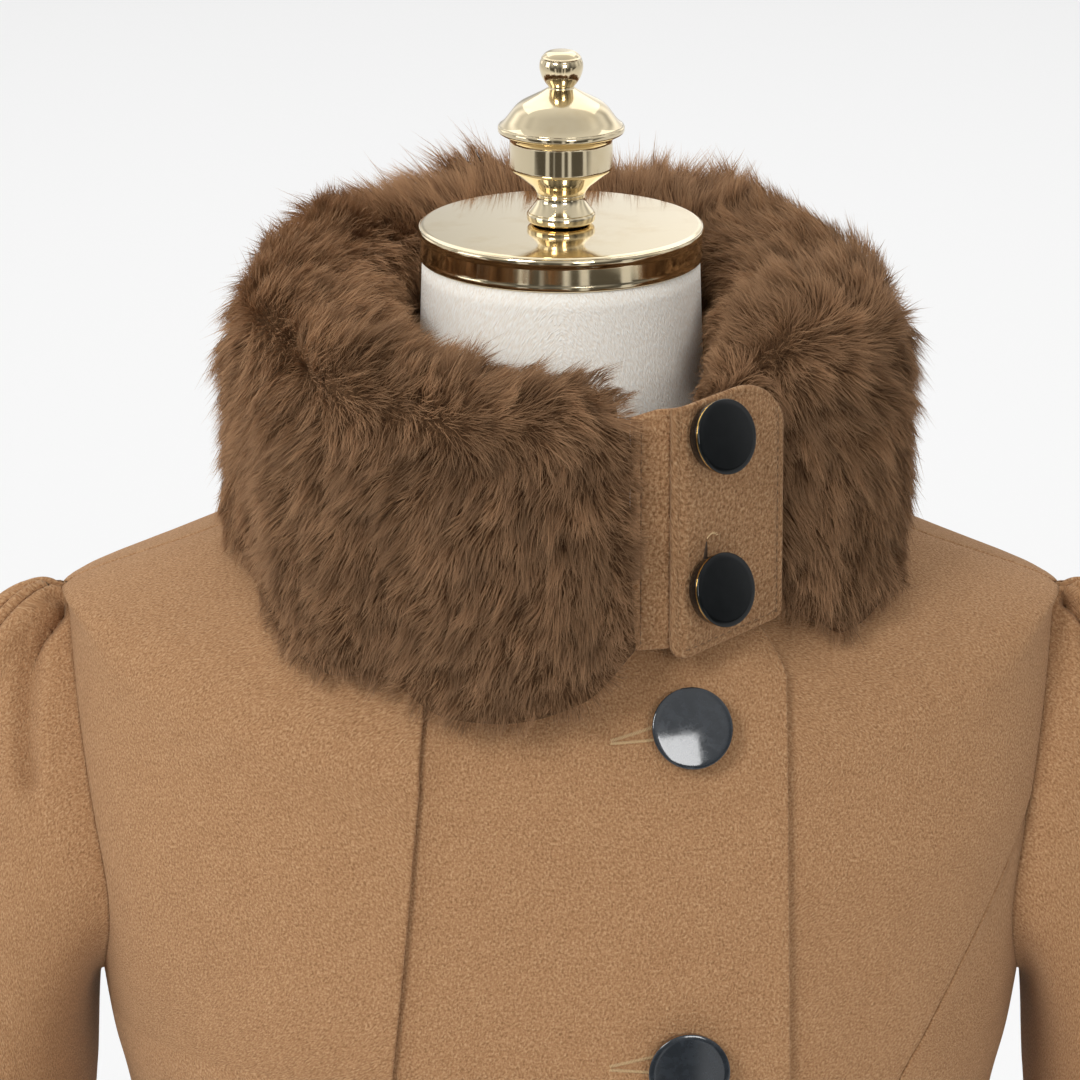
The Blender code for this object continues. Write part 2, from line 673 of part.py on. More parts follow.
def fur_solid(table, start_gap=0.0, end_gap=0.0):
    """Half of the fur collar, section by section from its lowest angle to its highest."""
    first, last = min(table), max(table)
    count = int(round((last - first) / FUR_STEP_DEG)) + 1
    rings = [fur_ring(angle, table) for angle in np.linspace(first + start_gap, last - end_gap, count)]
    return loft_solid(np.array(rings)[:, ::-1])


def collar_path(run):
    """Plan of the strip and tab: points along their outside and the directions they face."""
    fine = np.linspace(0.0, TAB_RUN[1], 400)
    turning = smooth_step((fine - PATH_BEND[0]) / (PATH_BEND[1] - PATH_BEND[0]))
    facing = np.radians(STRIP_FACING_DEG + (TAB_FACING_DEG - STRIP_FACING_DEG) * turning)
    step = fine[1] - fine[0]
    x = PATH_START[0] + np.cumsum(np.cos(facing)) * step
    y = PATH_START[1] + np.cumsum(np.sin(facing)) * step
    at = np.interp(run, fine, facing)
    point = np.stack((np.interp(run, fine, x), np.interp(run, fine, y)), axis=-1)
    return point, np.stack((np.sin(at), -np.cos(at)), axis=-1)


def collar_point(run, z, out):
    """A point on the tab's outside, which leans a little, moved out by a given amount."""
    run, z = np.broadcast_arrays(np.asarray(run, float), np.asarray(z, float))
    point, facing = collar_path(run)
    lean = (z - TAB_LOW_Z[0]) * math.tan(math.radians(TAB_LEAN_DEG))
    plan = point + facing * (lean + out)[..., None]
    return np.concatenate((plan, z[..., None]), axis=-1)


def collar_normal(run, tilt_deg):
    """The way that the tab faces at a place on its path, turned up by a tilt."""
    facing = collar_path(np.asarray(run, float))[1]
    up = math.radians(tilt_deg - TAB_LEAN_DEG)
    return np.array((facing[0] * math.cos(up), facing[1] * math.cos(up), math.sin(up)))


def collar_wall(run, low, top, out):
    """Cloth wall on the collar path between a lower and an upper outline."""
    part = np.linspace(0.0, 1.0, 6)[:, None]
    z = low[None, :] + (top - low)[None, :] * part
    runs = np.broadcast_to(run[None, :], z.shape)
    outer = collar_point(runs, z, np.full(z.shape, out))
    inner = collar_point(runs, z, np.full(z.shape, out - TAB_CLOTH))
    return wall_solid(outer, inner)


def strip_solid():
    """Cloth strip at the end of the fur, which runs on under the tab."""
    run = np.linspace(STRIP_RUN[0], STRIP_RUN[1], 6)
    top = STRIP_TOP_Z + (TAB_TOP_Z[0] - STRIP_TOP_Z) * run / TAB_RUN[0]
    low = np.full_like(run, STRIP_LOW_Z)
    return collar_wall(run, low, np.minimum(top, TAB_TOP_Z[0] - 0.001), -TAB_CLOTH - SEAM)


def tab_solid():
    """Cloth tab with a well-rounded upper corner and a slanting lower edge."""
    part = np.concatenate((np.linspace(0.0, 0.5, 6), 1.0 - 0.5 * np.cos(np.linspace(0.15, 0.5, 7) * math.pi)))
    run = TAB_RUN[0] + (TAB_RUN[1] - TAB_RUN[0]) * part
    to_end = TAB_RUN[1] - run
    top_round = np.clip(1.0 - to_end / TAB_TOP_CORNER, 0.0, 1.0)
    low_round = np.clip(1.0 - to_end / TAB_LOW_CORNER, 0.0, 1.0)
    top = TAB_TOP_Z[0] + (TAB_TOP_Z[1] - TAB_TOP_Z[0]) * part
    top = top - TAB_TOP_CORNER * (1.0 - np.sqrt(1.0 - top_round**2))
    low = TAB_LOW_Z[0] + (TAB_LOW_Z[1] - TAB_LOW_Z[0]) * part
    low = low + TAB_LOW_CORNER * (1.0 - np.sqrt(1.0 - low_round**2))
    return collar_wall(run, low, top, 0.0)


def form_ease(level, angle):
    """Room between coat and form: a close seat along the shoulder seam and more elsewhere."""
    keys = [LEVEL[name] for name in FORM_EASE]
    beside = np.clip(np.abs(np.degrees(np.abs(angle)) - 90.0) / SHOULDER_SEAT_DEG, 0.0, 1.0)
    return np.interp(level, keys, list(FORM_EASE.values())) + SEAM + FORM_EASE_BESIDE * beside


def form_solid():
    """Torso and neck of the form: the coat's own rings moved in, then a neck that rises from them."""
    rows = np.array((0.0,) + SHOULDER_ROWS)
    shoulder = LEVEL["shoulder_tip"] + rows * (LEVEL["neckline"] - LEVEL["shoulder_tip"])
    below = np.linspace(FORM_FOOT_LEVEL, armhole_level(0.82), 12)
    levels = np.concatenate((below, shoulder))
    angles = np.linspace(0.0, 2.0 * math.pi, 33)[:-1] - math.pi
    rows = levels[:, None]
    torso = body_point(rows, angles[None, :], -(CLOTH + form_ease(rows, angles[None, :])))
    foot = torso[0] * np.array((0.94, 0.94, 0.0)) + np.array((0.0, 0.0, FORM_FOOT_Z))
    start = torso[-1]
    slope = unit(torso[-1] - torso[-2])
    ring = np.stack((np.sin(angles), -np.cos(angles), np.zeros_like(angles)), axis=-1)
    up = np.array((0.0, 0.0, 1.0))
    meet = ring * NECK_FOOT_RADIUS + up * NECK_FOOT_Z
    part = np.array((0.25, 0.5, 0.75, 1.0))[:, None, None]
    leave = start + NECK_LEAVE * slope
    arrive = meet - NECK_ARRIVE * up
    neck = (
        (1.0 - part) ** 3 * start
        + 3.0 * part * (1.0 - part) ** 2 * leave
        + 3.0 * part**2 * (1.0 - part) * arrive
        + part**3 * meet
    )
    neck_top = ring * NECK_RADIUS + up * (CAP_TOP_Z - CAP_HEIGHT - SEAM)
    return loft_solid(np.concatenate((foot[None], torso, neck, neck_top[None])))


def make_material(name, finish):
    """Principled material with a colour, a roughness and a metallic value."""
    colour, roughness, metallic = finish
    material = bpy.data.materials.new(name)
    material.use_nodes = True
    shader = material.node_tree.nodes["Principled BSDF"]
    shader.inputs["Base Color"].default_value = (*colour, 1.0)
    shader.inputs["Roughness"].default_value = roughness
    shader.inputs["Metallic"].default_value = metallic
    return material


def add_solid(collection, name, solid, finish):
    """Put a solid into the collection as a named object with its own material."""
    points, faces = solid
    mesh = bpy.data.meshes.new(name)
    mesh.from_pydata(points.tolist(), [], faces.tolist())
    mesh.shade_smooth()
    mesh.set_sharp_from_angle(angle=math.radians(50.0))
    mesh.materials.append(make_material(name, finish))
    part = bpy.data.objects.new(name, mesh)
    collection.objects.link(part)
    return part


def add_turned(collection, name, profile, finish, location, facing=(0.0, 0.0, 1.0), steps=TURNED_STEPS):
    """A turned piece: a profile spun by a Screw modifier, standing at a place and facing a way."""
    mesh = bpy.data.meshes.new(name)
    points = [(radius, 0.0, height) for radius, height in profile]
    mesh.from_pydata(points, [(index, index + 1) for index in range(len(points) - 1)], [])
    mesh.materials.append(make_material(name, finish))
    part = bpy.data.objects.new(name, mesh)
    collection.objects.link(part)
    spin = part.modifiers.new("Screw", "SCREW")
    spin.steps = steps
    spin.render_steps = steps
    spin.use_merge_vertices = True
    spin.merge_threshold = 0.00001
    spin.use_normal_calculate = False
    part.location = Vector(location)
    part.rotation_mode = "QUATERNION"
    part.rotation_quaternion = Vector(facing).to_track_quat("Z", "Y")
    return part


def button_profile(diameter):
    """Button: a low domed face over a thick rim that steps in to a smaller back."""
    radius = diameter / 2.0
    return (
        (0.0, BUTTON_HEIGHT),
        (0.72 * radius, BUTTON_HEIGHT - 0.0004),
        (0.93 * radius, BUTTON_HEIGHT - 0.0012),
        (radius, BUTTON_HEIGHT - 0.0026),
        (0.98 * radius, 0.0016),
        (0.91 * radius, 0.0),
        (0.0, 0.0),
    )


def add_front_buttons(collection):
    """Row of buttons down the centre piece, each lying on the cloth at its own height."""
    levels = np.linspace(0.0, LEVEL["neckline"], 400)
    heights = body_section(levels)["front_z"]
    rows = panel_levels()
    cloth = body_point(rows, angle_at(rows, FRONT_BUTTON_X), np.full(rows.shape, LAP_STEP))
    for index in range(FRONT_BUTTON_COUNT):
        level = np.interp(FRONT_BUTTON_Z - index * FRONT_BUTTON_PITCH, heights, levels)
        angle = angle_at(np.asarray(level), FRONT_BUTTON_X)
        normal = body_normal(level, angle)
        place = body_point(level, angle, np.asarray(LAP_STEP))
        nearby_z = place[2] + np.linspace(-0.5, 0.5, 21) * FRONT_BUTTON_DIAMETER
        nearby = np.stack([np.interp(nearby_z, cloth[:, 2], cloth[:, axis]) for axis in range(3)], axis=-1)
        highest = np.max((nearby - place) @ normal)
        place = place + (max(highest, 0.0) + SEAM) * normal
        profile = button_profile(FRONT_BUTTON_DIAMETER)
        name = f"front_button_{index + 1}"
        add_turned(collection, name, profile, BLACK_GLOSS, place, normal, BUTTON_STEPS)


def add_collar_buttons(collection):
    """Two buttons on the tab, one above the other, tilted up on their shanks until the upper rim rests."""
    profile = button_profile(COLLAR_BUTTON_DIAMETER)
    back_radius = profile[-2][0]
    lift = SEAM + back_radius * math.sin(math.radians(COLLAR_BUTTON_TILT_DEG))
    normal = collar_normal(COLLAR_BUTTON_RUN, COLLAR_BUTTON_TILT_DEG)
    for index, z in enumerate(COLLAR_BUTTON_Z):
        place = collar_point(COLLAR_BUTTON_RUN, z, np.asarray(lift))
        name = f"collar_button_{index + 1}"
        add_turned(collection, name, profile, BLACK_GLOSS, place, normal, BUTTON_STEPS)


def add_pole(collection):
    """Straight pole from the base to the underside of the form."""
    top = FORM_FOOT_Z - SEAM
    profile = (
        (0.0, top),
        (POLE_RADIUS, top),
        (POLE_RADIUS, POLE_FOOT_Z),
        (0.0, POLE_FOOT_Z),
    )
    add_turned(collection, "stand_pole", profile, BRASS, (0.0, 0.0, 0.0), steps=24)


def main():
    """Clear the scene and build every piece of the coat and its form."""
    for old in list(bpy.data.objects):
        bpy.data.objects.remove(old, do_unlink=True)
    collection = bpy.data.collections.new("winter_coat_on_form")
    bpy.context.scene.collection.children.link(collection)
    levels = panel_levels()
    for name, solid in front_panels(levels).items():
        add_solid(collection, name, solid, CAMEL_WOOL)
    for name, solid in back_panels(levels).items():
        add_solid(collection, name, solid, CAMEL_WOOL)
    sleeve = sleeve_solid()
    add_solid(collection, "sleeve_left", sleeve, CAMEL_WOOL)
    add_solid(collection, "sleeve_right", mirrored(sleeve), CAMEL_WOOL)
    seam_deg = math.degrees(0.5 * SEAM / 0.058)
    add_solid(collection, "fur_collar_right", fur_solid(FUR_RIGHT, start_gap=seam_deg), BROWN_FUR)
    add_solid(collection, "fur_collar_left", fur_solid(FUR_LEFT, end_gap=seam_deg), BROWN_FUR)
    add_solid(collection, "collar_strip", strip_solid(), CAMEL_WOOL)
    add_solid(collection, "collar_tab", tab_solid(), CAMEL_WOOL)
    add_collar_buttons(collection)
    add_front_buttons(collection)
    add_solid(collection, "form_torso", form_solid(), LINEN)
    add_turned(collection, "neck_cap", CAP_PROFILE, BRASS, (0.0, 0.0, CAP_TOP_Z))
    add_turned(collection, "cap_finial", FINIAL_PROFILE, BRASS, (0.0, 0.0, CAP_TOP_Z + SEAM), steps=18)
    add_pole(collection)
    add_turned(collection, "stand_base", BASE_PROFILE, BRASS, (0.0, 0.0, 0.0), steps=40)


main()
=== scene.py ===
"""Looks of a long winter coat with a fur stand collar, on a limbless dress form.

Metres, +Z up. The coat's front faces -Y and +X is the wearer's left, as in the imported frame. Every cloth
piece is a thin shell on one body surface, a stack of oval rings, so pieces that meet or lap share their form.
"""

from __future__ import annotations

import logging
import math
from collections.abc import Callable, Sequence
from dataclasses import dataclass, field
from enum import Enum, IntEnum
from functools import cached_property
from typing import Any, NamedTuple

import bpy
import numpy as np
from bpy.types import Material, NodeSocket, Object, World
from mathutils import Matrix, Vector

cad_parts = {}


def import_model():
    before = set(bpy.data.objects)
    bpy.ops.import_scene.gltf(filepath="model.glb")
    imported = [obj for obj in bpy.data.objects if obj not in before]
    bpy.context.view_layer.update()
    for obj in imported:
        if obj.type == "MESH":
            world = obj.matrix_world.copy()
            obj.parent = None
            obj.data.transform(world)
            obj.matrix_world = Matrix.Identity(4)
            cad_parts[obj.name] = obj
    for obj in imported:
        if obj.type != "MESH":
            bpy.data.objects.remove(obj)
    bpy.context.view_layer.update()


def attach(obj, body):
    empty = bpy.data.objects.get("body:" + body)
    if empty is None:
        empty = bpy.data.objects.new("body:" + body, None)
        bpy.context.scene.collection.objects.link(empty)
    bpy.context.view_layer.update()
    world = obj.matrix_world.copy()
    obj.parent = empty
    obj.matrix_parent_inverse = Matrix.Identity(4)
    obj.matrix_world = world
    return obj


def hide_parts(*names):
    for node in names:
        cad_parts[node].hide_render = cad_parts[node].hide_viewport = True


LOG = logging.getLogger("winter_coat")
ROOT = "root"
Array = np.ndarray
Pair = tuple[float, float]
Triple = tuple[float, float, float]
Colour = Triple


class Side(Enum):
    """The wearer's two sides, as the sign of X."""

    LEFT = 1.0
    RIGHT = -1.0


# Array helpers


def smooth_step(value: Array | float, start: float = 0.0, span: float = 1.0) -> Array:
    """Ease from 0 to 1 over a span from a start, with level ends: v*v*(3 - 2v)."""
    part = np.clip((value - start) / span, 0.0, 1.0)
    return part * part * (3.0 - 2.0 * part)


def smooth_rows(keys: Sequence[float], rows: Any, at: Array | float) -> Array:
    """Read a table between its rows on cubic pieces whose slope at a row comes from its neighbours.

    Args:
        keys: place of each row, rising.
        rows: values, one row for each key.
        at: places to read.

    Returns:
        The values at those places, with the table's columns last.
    """
    keys, rows = np.asarray(keys, float), np.asarray(rows, float)
    slopes = np.gradient(rows, keys, axis=0)
    at = np.clip(np.asarray(at, float), keys[0], keys[-1])
    low = np.clip(np.searchsorted(keys, at, side="right") - 1, 0, len(keys) - 2)
    span = (keys[low + 1] - keys[low])[..., None]
    part = (at - keys[low])[..., None] / span
    level = rows[low] + (rows[low + 1] - rows[low]) * smooth_step(part)
    leave = part * (1.0 - part) ** 2 * span * slopes[low]
    return level + leave + part * part * (part - 1.0) * span * slopes[low + 1]


def unit(vectors: Array) -> Array:
    """Scale vectors to length one."""
    return vectors / np.maximum(np.linalg.norm(vectors, axis=-1, keepdims=True), 1e-12)


def signed_power(value: Array, power: Array | float) -> Array:
    """Raise to a power and keep the sign."""
    return np.sign(value) * np.abs(value) ** power


def bump(distance: Array, half_width: Array | float) -> Array:
    """A round bump, half a cosine wave, of height one that ends at the half width."""
    return 0.5 + 0.5 * np.cos(math.pi * np.clip(distance / half_width, -1.0, 1.0))


def bezier(part: Array, start: Array, leave: Array, arrive: Array, end: Array) -> Array:
    """Cubic curve from start to end, pulled towards leave and then arrive."""
    rest = 1.0 - part
    return rest**3 * start + 3.0 * part * rest**2 * leave + 3.0 * part**2 * rest * arrive + part**3 * end


def wrapped(grid: Array) -> Array:
    """A grid with its first column again after its last."""
    return np.concatenate((grid, grid[:, :1]), axis=1)


def numbered(grid: Array) -> Array:
    """Numbers of a grid's points, row by row."""
    return np.arange(grid.shape[0] * grid.shape[1]).reshape(grid.shape[:2])


def grid_frame(grid: Array, closed: bool = False) -> tuple[Array, Array, Array]:
    """Unit directions on a grid of points.

    Args:
        grid: points, rows by columns by 3.
        closed: true where the last column meets the first.

    Returns:
        The direction along the columns' run, the one along the rows' run, and their cross product.
    """
    if closed:
        across = np.roll(grid, -1, axis=1) - np.roll(grid, 1, axis=1)
    else:
        across = np.gradient(grid, axis=1)
    across, along = unit(across), unit(np.gradient(grid, axis=0))
    return across, along, unit(np.cross(across, along))


def run_length(grid: Array, axis: int) -> Array:
    """Length travelled over a grid of points along one of its axes, from 0."""
    steps = np.linalg.norm(np.diff(grid, axis=axis), axis=-1)
    start = np.zeros_like(np.take(steps, [0], axis=axis))
    return np.concatenate((start, np.cumsum(steps, axis=axis)), axis=axis)


@dataclass(frozen=True)
class Ripple:
    """Smooth random hills: a sum of cosine waves of about one wavelength in random directions."""

    numbers: Array
    phases: Array

    @classmethod
    def drawn(cls, rng: np.random.Generator, wave: float, count: int = 10) -> Ripple:
        """Draw the waves' directions, lengths near the given one, and phases."""
        heading = unit(rng.normal(size=(count, 3)))
        numbers = heading * (2.0 * math.pi / wave) * rng.uniform(0.6, 1.5, size=(count, 1))
        return cls(numbers, rng.uniform(0.0, 2.0 * math.pi, size=count))

    def at(self, places: Array) -> Array:
        """Heights at points, with a spread of about one."""
        waves = np.cos(places @ self.numbers.T + self.phases)
        return waves.sum(axis=-1) * math.sqrt(2.0 / len(self.phases))


# Shader maths


class Value:
    """A socket's output in shader maths: arithmetic on it adds Math nodes."""

    def __init__(self, shader: Shader, socket: NodeSocket) -> None:
        """Wrap one output socket of a shader's node."""
        self.shader = shader
        self.socket = socket

    def math(self, operation: str, *others: Value | float) -> Value:
        """A Math node with this value first."""
        return self.shader.node("ShaderNodeMath", dict(enumerate((self, *others))), operation=operation)

    def __add__(self, other: Value | float) -> Value:
        """Sum."""
        return self.math("ADD", other)

    def __sub__(self, other: Value | float) -> Value:
        """Difference."""
        return self.math("SUBTRACT", other)

    def __rsub__(self, other: float) -> Value:
        """Difference from a number."""
        return self.math("MULTIPLY", -1.0).math("ADD", other)

    def __mul__(self, other: Value | float) -> Value:
        """Product."""
        return self.math("MULTIPLY", other)

    __radd__ = __add__
    __rmul__ = __mul__


class Shader:
    """The nodes of one material, or of the world."""

    def __init__(self, name: str, world: bool = False) -> None:
        """Start an empty material or world."""
        self.world = world
        self.owner = (bpy.data.worlds if world else bpy.data.materials).new(name)
        self.owner.use_nodes = True
        self.tree = self.owner.node_tree
        self.tree.nodes.clear()

    def node(self, kind: str, inputs: dict | None = None, output: Any = 0, **settings: Any) -> Value:
        """Make any node.

        Args:
            kind: the node's type.
            inputs: values or links of its sockets, by name or number.
            output: name or number of the wanted output.
            settings: the node's own settings, and stops for a ramp as (place, colour) pairs.

        Returns:
            The wanted output.
        """
        node = self.tree.nodes.new(kind)
        stops = settings.pop("stops", ())
        for name, setting in settings.items():
            setattr(node, name, setting)
        for _ in stops[2:]:
            node.color_ramp.elements.new(0.5)
        for index, (place, colour) in enumerate(stops):
            node.color_ramp.elements[index].position = place
            node.color_ramp.elements[index].color = (*colour, 1.0)
        for key, value in (inputs or {}).items():
            self.feed(node.inputs[key], value)
        return Value(self, node.outputs[output])

    def feed(self, socket: NodeSocket, value: Any) -> None:
        """Link a value to a socket, or set the socket to a number, vector or colour."""
        if isinstance(value, Value):
            self.tree.links.new(value.socket, socket)
        else:
            socket.default_value = (*value, 1.0) if socket.type == "RGBA" else value

    def coordinates(self, kind: str = "Object") -> Value:
        """Texture coordinates of one kind, Object or UV."""
        return self.node("ShaderNodeTexCoord", output=kind)

    def stretched(self, place: Value, scale: Triple, turn: float = 0.0) -> Value:
        """Coordinates turned about Z and then scaled along their axes."""
        inputs = {"Vector": place, "Rotation": (0.0, 0.0, turn), "Scale": scale}
        return self.node("ShaderNodeMapping", inputs, vector_type="POINT")

    def noise(self, place: Value, scale: float, *finer: float) -> Value:
        """Noise from 0 to 1 of one scale, with its detail, roughness and warp where given."""
        names = ("Vector", "Scale", "Detail", "Roughness", "Distortion")
        return self.node("ShaderNodeTexNoise", dict(zip(names, (place, scale, *finer))), "Fac")

    def ramp(self, factor: Value, *stops: tuple[float, Colour]) -> Value:
        """Colour from a ramp's stops."""
        return self.node("ShaderNodeValToRGB", {"Fac": factor}, "Color", stops=stops)

    def spread(self, factor: Value, low: float, high: float, to_low: Any = 0.0, to_high: Any = 1.0) -> Value:
        """Map a range of values to another one, held at its ends."""
        inputs = {"Value": factor, 1: low, 2: high, 3: to_low, 4: to_high}
        return self.node("ShaderNodeMapRange", inputs, clamp=True)

    def blend(self, factor: Value | float, first: Any, second: Any, kind: str = "MIX") -> Value:
        """Mix two colours."""
        inputs = {0: factor, 6: first, 7: second}
        return self.node("ShaderNodeMix", inputs, 2, data_type="RGBA", blend_type=kind)

    def bumped(self, height: Value, distance: float, strength: float) -> Value:
        """Normal of a surface raised by a height."""
        inputs = {"Height": height, "Distance": distance, "Strength": strength}
        return self.node("ShaderNodeBump", inputs, "Normal")

    def fan(self, kind: str, *waves: Pair) -> tuple[dict[str, Value], Value]:
        """Coordinates by axis, and the mean of two sines of the angle about Z, each a count and a shift."""
        place = self.coordinates(kind)
        ways = {axis: self.node("ShaderNodeSeparateXYZ", {0: place}, axis) for axis in "XYZ"}
        turn = ways["X"].math("ARCTAN2", ways["Y"])
        first, second = ((turn * count + shift).math("SINE") * 0.5 for count, shift in waves)
        return ways, first + second

    def surface(self, through: float = 0.0, glow: Colour | None = None, **sockets: Any) -> Material:
        """Close the material with a Principled surface.

        Args:
            through: share of light that passes through, for hair.
            glow: colour of that light.
            sockets: values of the surface's sockets, named with underscores for spaces.

        Returns:
            The material.
        """
        inputs = {name.replace("_", " "): value for name, value in sockets.items()}
        result = self.node("ShaderNodeBsdfPrincipled", inputs, "BSDF")
        if through:
            passing = self.node("ShaderNodeBsdfTranslucent", {"Color": glow}, "BSDF")
            result = self.node("ShaderNodeMixShader", {0: through, 1: result, 2: passing})
        self.finish(result)
        return self.owner

    def finish(self, shader: Value) -> None:
        """Link a surface, or the world's background, to the output."""
        output = self.tree.nodes.new("ShaderNodeOutputWorld" if self.world else "ShaderNodeOutputMaterial")
        self.tree.links.new(shader.socket, output.inputs["Surface"])


# Finishes


@dataclass(frozen=True)
class MeltonWool:
    """Milled wool with a short nap: a fine felted grain of paler and darker fibre, and a soft sheen."""

    name: str = "camel_melton"
    tone_and_painted_light: float = 1.0
    contrast: float = 0.85
    dark: Colour = (0.205, 0.095, 0.039)
    middle: Colour = (0.392, 0.209, 0.099)
    pale: Colour = (0.590, 0.370, 0.200)
    sheen: Colour = (0.86, 0.66, 0.46)
    grain: float = 0.00098
    mottle: float = 0.0090
    relief: float = 0.00045

    def material(self) -> Material:
        """Wool whose colour and bump follow one felted grain."""
        shader = Shader(self.name)
        place = shader.coordinates("UV")
        felt = shader.noise(place, 1.0 / self.grain, 2.0, 0.62, 0.25)
        combed = shader.stretched(place, (1.0, 0.60, 1.0), -0.8)
        fibre = shader.noise(combed, 1.35 / self.grain, 1.0, 0.5, 0.6)
        cloud = shader.noise(shader.coordinates(), 1.0 / self.mottle, 2.0, 0.55)
        grain = felt * 0.60 + fibre * 0.40
        height = shader.spread(grain, 0.35, 0.65)
        dark, middle, pale = (self.toned(colour) for colour in (self.dark, self.middle, self.pale))
        colour = shader.ramp(height * 0.82 + cloud * 0.18, (0.0, dark), (0.48, middle), (1.0, pale))
        return shader.surface(
            Base_Color=colour,
            Roughness=shader.spread(grain, 0.3, 0.7, 0.98, 0.86),
            Specular_IOR_Level=0.18,
            Sheen_Weight=0.22,
            Sheen_Roughness=0.45,
            Sheen_Tint=self.sheen,
            Normal=shader.bumped(height, self.relief, 0.75),
        )

    def toned(self, colour: Colour) -> Colour:
        """A colour moved from the middle one by the contrast and scaled by the cloth's tone, which in the
        tab's and strip's copies is painted shade.
        """
        away = np.subtract(colour, self.middle)
        return tuple(self.tone_and_painted_light * np.maximum(self.middle + self.contrast * away, 0.01))


@dataclass(frozen=True)
class FurHair:
    """Fur hair, dark at the root and paler to the tip; reads the strand's own along value and its tone value,
    which carries painted light and shade.
    """

    name: str = "brown_fur_hair"
    root: Colour = (0.080, 0.041, 0.020)
    middle: Colour = (0.215, 0.115, 0.056)
    tip: Colour = (0.510, 0.310, 0.172)
    glow: Colour = (0.330, 0.185, 0.092)
    patch: float = 0.036
    through: float = 0.28

    def material(self) -> Material:
        """Hair colour from its length, its tone with painted light and shade, and soft patches."""
        shader = Shader(self.name)
        kind = "ShaderNodeAttribute"
        along, tone_and_painted_light = (shader.node(kind, output="Fac", attribute_name=name) for name in ("along", "tone_and_painted_light"))
        patch = shader.noise(shader.coordinates(), 1.0 / self.patch, 2.0)
        stops = ((0.0, self.root), (0.42, self.middle), (1.0, self.tip))
        colour = shader.ramp(along * 0.76 + patch * 0.24, *stops)
        # The tone value brightens or darkens the hair: partly its own random tone, partly painted light and
        # shade.
        shade = shader.spread(tone_and_painted_light, 0.0, 1.0, 0.60, 1.40)
        grey = shader.node("ShaderNodeCombineColor", {0: shade, 1: shade, 2: shade})
        colour = shader.blend(1.0, colour, grey, "MULTIPLY")
        gloss = {"Roughness": 0.60, "Specular_IOR_Level": 0.10}
        return shader.surface(self.through, self.glow, Base_Color=colour, **gloss)


@dataclass(frozen=True)
class FurSkin:
    """The pelt under the hair: dense dark underfur."""

    name: str = "brown_fur_skin"
    dark: Colour = (0.085, 0.045, 0.022)
    pale: Colour = (0.185, 0.098, 0.048)
    tuft: float = 0.0016

    def material(self) -> Material:
        """Dark fluff with fine tufts."""
        shader = Shader(self.name)
        height = shader.spread(shader.noise(shader.coordinates(), 1.0 / self.tuft, 3.0, 0.6), 0.3, 0.7)
        colour = shader.ramp(height, (0.0, self.dark), (1.0, self.pale))
        normal = shader.bumped(height, 0.001, 1.0)
        return shader.surface(Base_Color=colour, Roughness=0.95, Specular_IOR_Level=0.1, Normal=normal)


@dataclass(frozen=True)
class LinenCover:
    """Off-white plain weave: warp and weft threads cross, uneven in thickness."""

    name: str = "linen_cover"
    shade: Colour = (0.880, 0.800, 0.690)
    thread: Colour = (1.000, 0.985, 0.930)
    pitch: float = 0.0009

    def material(self) -> Material:
        """Weave from two sets of uneven threads on the cover's own map."""
        shader = Shader(self.name)
        place = shader.coordinates("UV")
        scales = ((1.0, 0.62, 1.0), (0.62, 1.0, 1.0))
        warp, weft = (shader.noise(shader.stretched(place, scale), 1.0 / self.pitch, 1.0) for scale in scales)
        height = shader.spread(warp * 0.5 + weft * 0.5, 0.36, 0.64)
        colour = shader.ramp(height, (0.0, self.shade), (1.0, self.thread))
        normal = shader.bumped(height, 0.0003, 0.7)
        return shader.surface(Base_Color=colour, Roughness=0.92, Specular_IOR_Level=0.2, Normal=normal)


@dataclass(frozen=True)
class PolishedMetal:
    """Polished metal with faint turning lines and a little tarnish."""

    name: str = "polished_brass"
    colour: Colour = (0.805, 0.685, 0.465)
    worn: Colour = (0.660, 0.490, 0.245)
    gloss: float = 0.040
    dull: float = 0.160

    def material(self) -> Material:
        """Metal whose tint and gloss wander a little."""
        shader = Shader(self.name)
        place = shader.coordinates()
        cloud = shader.noise(place, 55.0, 3.0, 0.6)
        turned = shader.noise(shader.stretched(place, (6.0, 6.0, 900.0)), 1.0, 2.0)
        tarnish = shader.spread(cloud, 0.5, 0.85)
        return shader.surface(
            Base_Color=shader.blend(tarnish * 0.55, self.colour, self.worn),
            Metallic=1.0,
            Roughness=shader.spread(cloud * 0.7 + turned * 0.3, 0.3, 0.8, self.gloss, self.dull),
            Normal=shader.bumped(turned, 0.00002, 0.12),
        )


@dataclass(frozen=True)
class GlossyButton:
    """Polished dark button with the finest hairline scratches."""

    name: str = "black_gloss"
    colour: Colour = (0.0160, 0.0200, 0.0250)
    hazed: Colour = (0.0260, 0.0320, 0.0400)
    specular: float = 0.85
    dull: float = 0.13

    def material(self) -> Material:
        """Near-black gloss, hazed in places."""
        shader = Shader(self.name)
        place = shader.coordinates()
        haze = shader.noise(place, 260.0, 3.0, 0.65)
        scratch = shader.noise(shader.stretched(place, (2600.0, 320.0, 900.0), 0.7), 1.0, 2.0)
        colour = shader.blend(shader.spread(haze, 0.4, 0.8), self.colour, self.hazed)
        rough = shader.spread(haze * 0.6 + scratch * 0.4, 0.35, 0.75, 0.3 * self.dull, self.dull)
        return shader.surface(Base_Color=colour, Roughness=rough, Specular_IOR_Level=self.specular)


@dataclass(frozen=True)
class SewingThread:
    """Twisted thread, a little paler or darker than the cloth."""

    name: str = "camel_thread"
    colour: Colour = (0.740, 0.540, 0.300)
    shadow: Colour = (0.500, 0.330, 0.165)

    def material(self) -> Material:
        """Thread with the fine bands of its twist."""
        shader = Shader(self.name)
        twist = shader.noise(shader.coordinates(), 2600.0, 2.0)
        colour = shader.blend(twist, self.shadow, self.colour)
        return shader.surface(Base_Color=colour, Roughness=0.7, Normal=shader.bumped(twist, 0.00008, 0.5))


